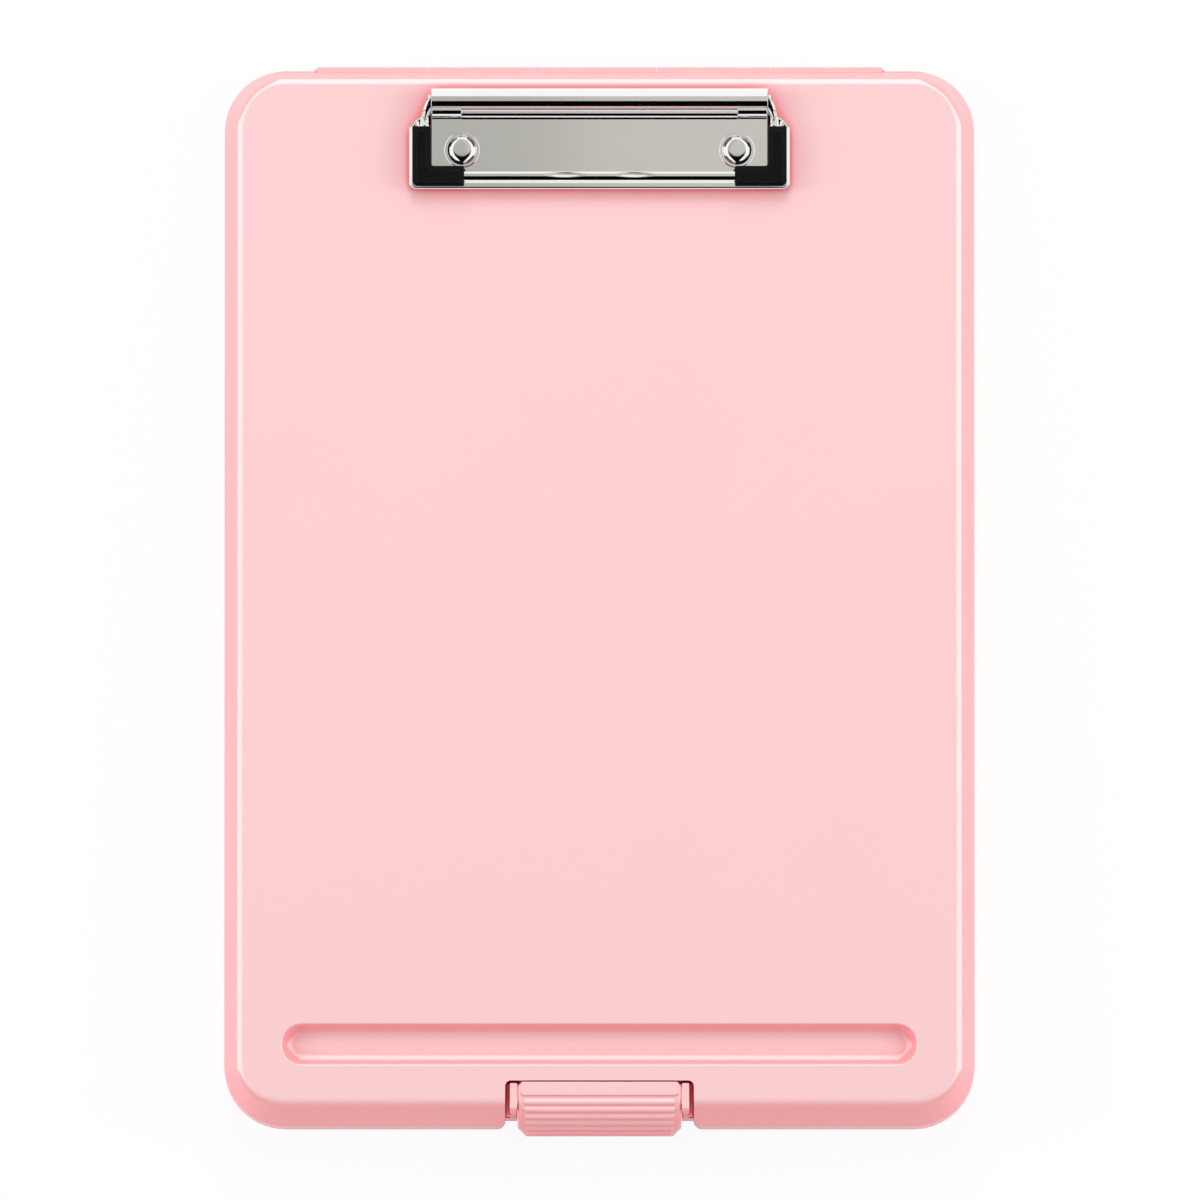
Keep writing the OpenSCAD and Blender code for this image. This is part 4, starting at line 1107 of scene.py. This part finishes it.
class CLIPBOX_OT_grips(bpy.types.Operator):
    """Mould the two L-shaped rubber grips with their raised faces"""
    bl_idname = "clipbox.grips"
    bl_label = "Rubber grips"

    def execute(self, context):
        case, _, clip = sizes()
        out_x, in_x = clip.half - clip.sheet, clip.window - 0.1
        front, end_x = clip.front + clip.sheet, clip.half - clip.sheet - clip.grip_w
        low, high = case.height + clip.gap, clip.arm_top + clip.grip_h

        def ring(t, z):
            """The grip's L outline drawn in by t, at height z."""
            back, foot = front + clip.grip_l - t, front + clip.grip_foot - t
            corners = [(out_x - t, front + t), (out_x - t, back), (in_x + t, back), (in_x + t, foot),
                       (end_x + t, foot), (end_x + t, front + t)]
            rounds = [max(0.4, 1.8 - t * 0.5), 0.5, 0.5, 0.9 + t * 0.6, 0.5, 0.5]
            return [(x, y, z) for x, y in fillet_loop(corners, rounds, 6)]

        tier = high - 0.9
        # how far the outline is drawn in at each height: foot, wall, rounded step and raised face
        profile = [(0.3, low), (0.05, low + 0.3), (0.0, low + 0.6),
                   (0.0, tier - 0.45), (0.06, tier - 0.25), (0.2, tier - 0.08), (0.42, tier),
                   (0.95, tier + 0.02), (1.1, tier + 0.1), (1.22, tier + 0.3),
                   (1.34, high - 0.22), (1.48, high - 0.06), (1.75, high)]
        for name, side in (("rubber_grip_left", -1), ("rubber_grip_right", 1)):
            grip = loft([ring(t, z) for t, z in profile])
            grip = mirrored(grip) if side < 0 else grip
            piece(f"moulded_{name}", grip, moulded_rubber(), "jaw", name, smooth=60)
        return {"FINISHED"}


# ---- studio ----

class CLIPBOX_OT_stage(bpy.types.Operator):
    """Set the pale floor, studio lights, reflection cards and the camera"""
    bl_idname = "clipbox.stage"
    bl_label = "Stage"

    def execute(self, context):
        case, _, _ = sizes()
        scene = context.scene
        scene.view_settings.view_transform = "Standard"
        self.floor(scene.clipbox_finish.floor)
        self.world(scene)
        # key from the hinge side, strips from left and right
        self.lamp("key", (0, 2.2, 1.55), 1.6, 0.9, 28)
        self.lamp("left_strip", (-1.9, 0.15, 0.75), 0.7, 0.8, 15)
        self.lamp("right_strip", (1.9, 0.15, 0.75), 0.7, 0.8, 15)
        # cards that only mirrors see: grey overhead towards the hinge and a little darker on its left, black
        # over the near side, and dark ones standing at the four corners, which give the chrome its dark edges
        self.card("overhead_card", "#CCC9C4", (0, 0.9725, 2), 1, 1.455, 0.8)
        self.card("near_card", "#050505", (0, -1.2775, 2), 1, 3.045, 1)
        for i, (x, y) in enumerate(((-1, -1), (1, -1), (-1, 1), (1, 1))):
            self.card(f"corner_card_{i + 1}", "#4A4A48", (1.6 * x, 1.6 * y, 0.9), 2, 1.5, 1, True)
        self.camera(scene, case)
        return {"FINISHED"}

    def sheet(self, name, size, material, matrix=Matrix()):
        """A flat square of a material, moved and stretched into its place, as part of the stage."""
        bm = bmesh.new()
        bmesh.ops.create_grid(bm, x_segments=1, y_segments=1, size=size)
        bmesh.ops.transform(bm, matrix=matrix, verts=bm.verts)
        sheet = placed(name, mesh_from(name, bm))
        sheet.data.materials.append(material)
        return sheet

    def floor(self, tone):
        """A large pale floor that looks white and still takes the shadow."""
        material = new_material("painted_floor")
        tree = material.node_tree
        base = add_node(tree, "BsdfDiffuse", {"Color": (*tone, 1)})
        glow = add_node(tree, "Emission", {"Color": (1, 1, 1, 1), "Strength": 1.0})
        path = add_node(tree, "LightPath")
        # reflections show less of the floor's own white, so the shadow at the foot of the walls stays in them
        reflected = calculated(tree, "MULTIPLY", (path, "Is Glossy Ray"), 0.4)
        seen = calculated(tree, "MAXIMUM", (path, "Is Camera Ray"), (path, "Is Transmission Ray"))
        share = calculated(tree, "MULTIPLY", calculated(tree, "MAXIMUM", seen, reflected), 0.92)
        mix = add_node(tree, "MixShader", {0: share, 1: (base, "BSDF"), 2: (glow, "Emission")})
        add_node(tree, "OutputMaterial", {"Surface": (mix, "Shader")})
        self.sheet("floor", 6, material)

    def world(self, scene):
        """Even white surroundings: full white where seen, softer as light."""
        scene.world = bpy.data.worlds.new("studio")
        scene.world.use_nodes = True
        tree = scene.world.node_tree
        tree.nodes.clear()
        path = add_node(tree, "LightPath")
        seen = calculated(tree, "MAXIMUM", (path, "Is Camera Ray"), (path, "Is Glossy Ray"))
        seen = calculated(tree, "MAXIMUM", seen, (path, "Is Transmission Ray"))
        strength = ranged(tree, seen, 0.68, 1.0)
        light = add_node(tree, "Background", {"Color": (1, 1, 1, 1), "Strength": strength})
        add_node(tree, "OutputWorld", {"Surface": (light, "Background")})

    def lamp(self, name, place, width, height, power):
        """A soft box aimed at the middle of the case."""
        data = bpy.data.lights.new(name, "AREA")
        data.shape, data.size, data.size_y, data.energy = "RECTANGLE", width, height, power
        lamp = placed(name, data)
        # mirrors see the even surroundings instead, so that fine edges of the chrome stay clean
        lamp.visible_glossy = False
        lamp.location = place
        lamp.rotation_euler = (-Vector(place)).to_track_quat("-Z", "Y").to_euler()

    def card(self, name, hex_colour, place, wide, deep, left_share, upright=False):
        """A studio card that shows only in reflections, lying overhead or standing and turned to the case."""
        material = new_material(f"{name}_board")
        tree = material.node_tree
        texture = add_node(tree, "TexCoord")
        point = add_node(tree, "SeparateXYZ", {"Vector": (texture, "Object")})
        share = ranged(tree, (point, "X"), 0.0, 1.0, -0.03, 0.005, "SMOOTHSTEP")
        full = linear(hex_colour)
        tone = mixed(tree, share, (*(left_share * c for c in full), 1), (*full, 1))
        glow = add_node(tree, "Emission", {"Strength": 1.0, "Color": tone})
        add_node(tree, "OutputMaterial", {"Surface": (glow, "Emission")})
        turn = Vector((-place[0], -place[1], 0)).to_track_quat("Z", "Y") if upright else Quaternion()
        matrix = Matrix.LocRotScale(Vector(place), turn, Vector((wide, deep, 1)))
        card = self.sheet(name, 0.5, material, matrix)
        card.visible_camera = card.visible_diffuse = card.visible_shadow = False
        card.visible_transmission = card.visible_volume_scatter = False

    def camera(self, scene, case):
        """A long lens from above, four degrees towards the latch, as the photograph shows."""
        data = bpy.data.cameras.new("camera")
        camera = scene.camera = placed("camera", data)
        # aimed where the photograph has its middle
        target = Vector((0.00016, -0.00103, case.height / 1000))
        tilt, distance, view_width = math.radians(4), 12.0, 0.3838
        away = Vector((0, -math.sin(tilt), math.cos(tilt)))
        camera.location = target + away * distance
        camera.rotation_euler = (tilt, 0, 0)
        data.sensor_width = 36
        data.lens = data.sensor_width * distance / view_width
        data.clip_end = 50


# ---- add-on ----

GROUPS = {"clipbox_case": CaseSizes, "clipbox_latch": LatchSizes, "clipbox_clip": ClipSizes,
          "clipbox_finish": Finishes}
OPERATORS = (CLIPBOX_OT_tray, CLIPBOX_OT_lid, CLIPBOX_OT_latch, CLIPBOX_OT_rods, CLIPBOX_OT_springs,
             CLIPBOX_OT_plate, CLIPBOX_OT_rivets, CLIPBOX_OT_jaw, CLIPBOX_OT_grips, CLIPBOX_OT_stage)


class CLIPBOX_PT_panel(bpy.types.Panel):
    """Lists the pieces of the clipboard box with their sizes"""
    bl_idname = "CLIPBOX_PT_panel"
    bl_label = "Clipboard box"
    bl_space_type = "VIEW_3D"
    bl_region_type = "UI"
    bl_category = "Clipboard box"

    def draw(self, context):
        for operator in OPERATORS:
            self.layout.operator(operator.bl_idname)
        for name, group in GROUPS.items():
            section = self.layout.box()
            for key in group.__annotations__:
                section.prop(getattr(context.scene, name), key)


def register():
    for cls in (*GROUPS.values(), *OPERATORS, CLIPBOX_PT_panel):
        bpy.utils.register_class(cls)
    for name, group in GROUPS.items():
        setattr(bpy.types.Scene, name, PointerProperty(type=group))


def unregister():
    for name in GROUPS:
        delattr(bpy.types.Scene, name)
    for cls in reversed((*GROUPS.values(), *OPERATORS, CLIPBOX_PT_panel)):
        bpy.utils.unregister_class(cls)


def main():
    register()
    for operator in OPERATORS:
        category, name = operator.bl_idname.split(".")
        getattr(getattr(bpy.ops, category), name)()


if __name__ == "__main__":
    main()
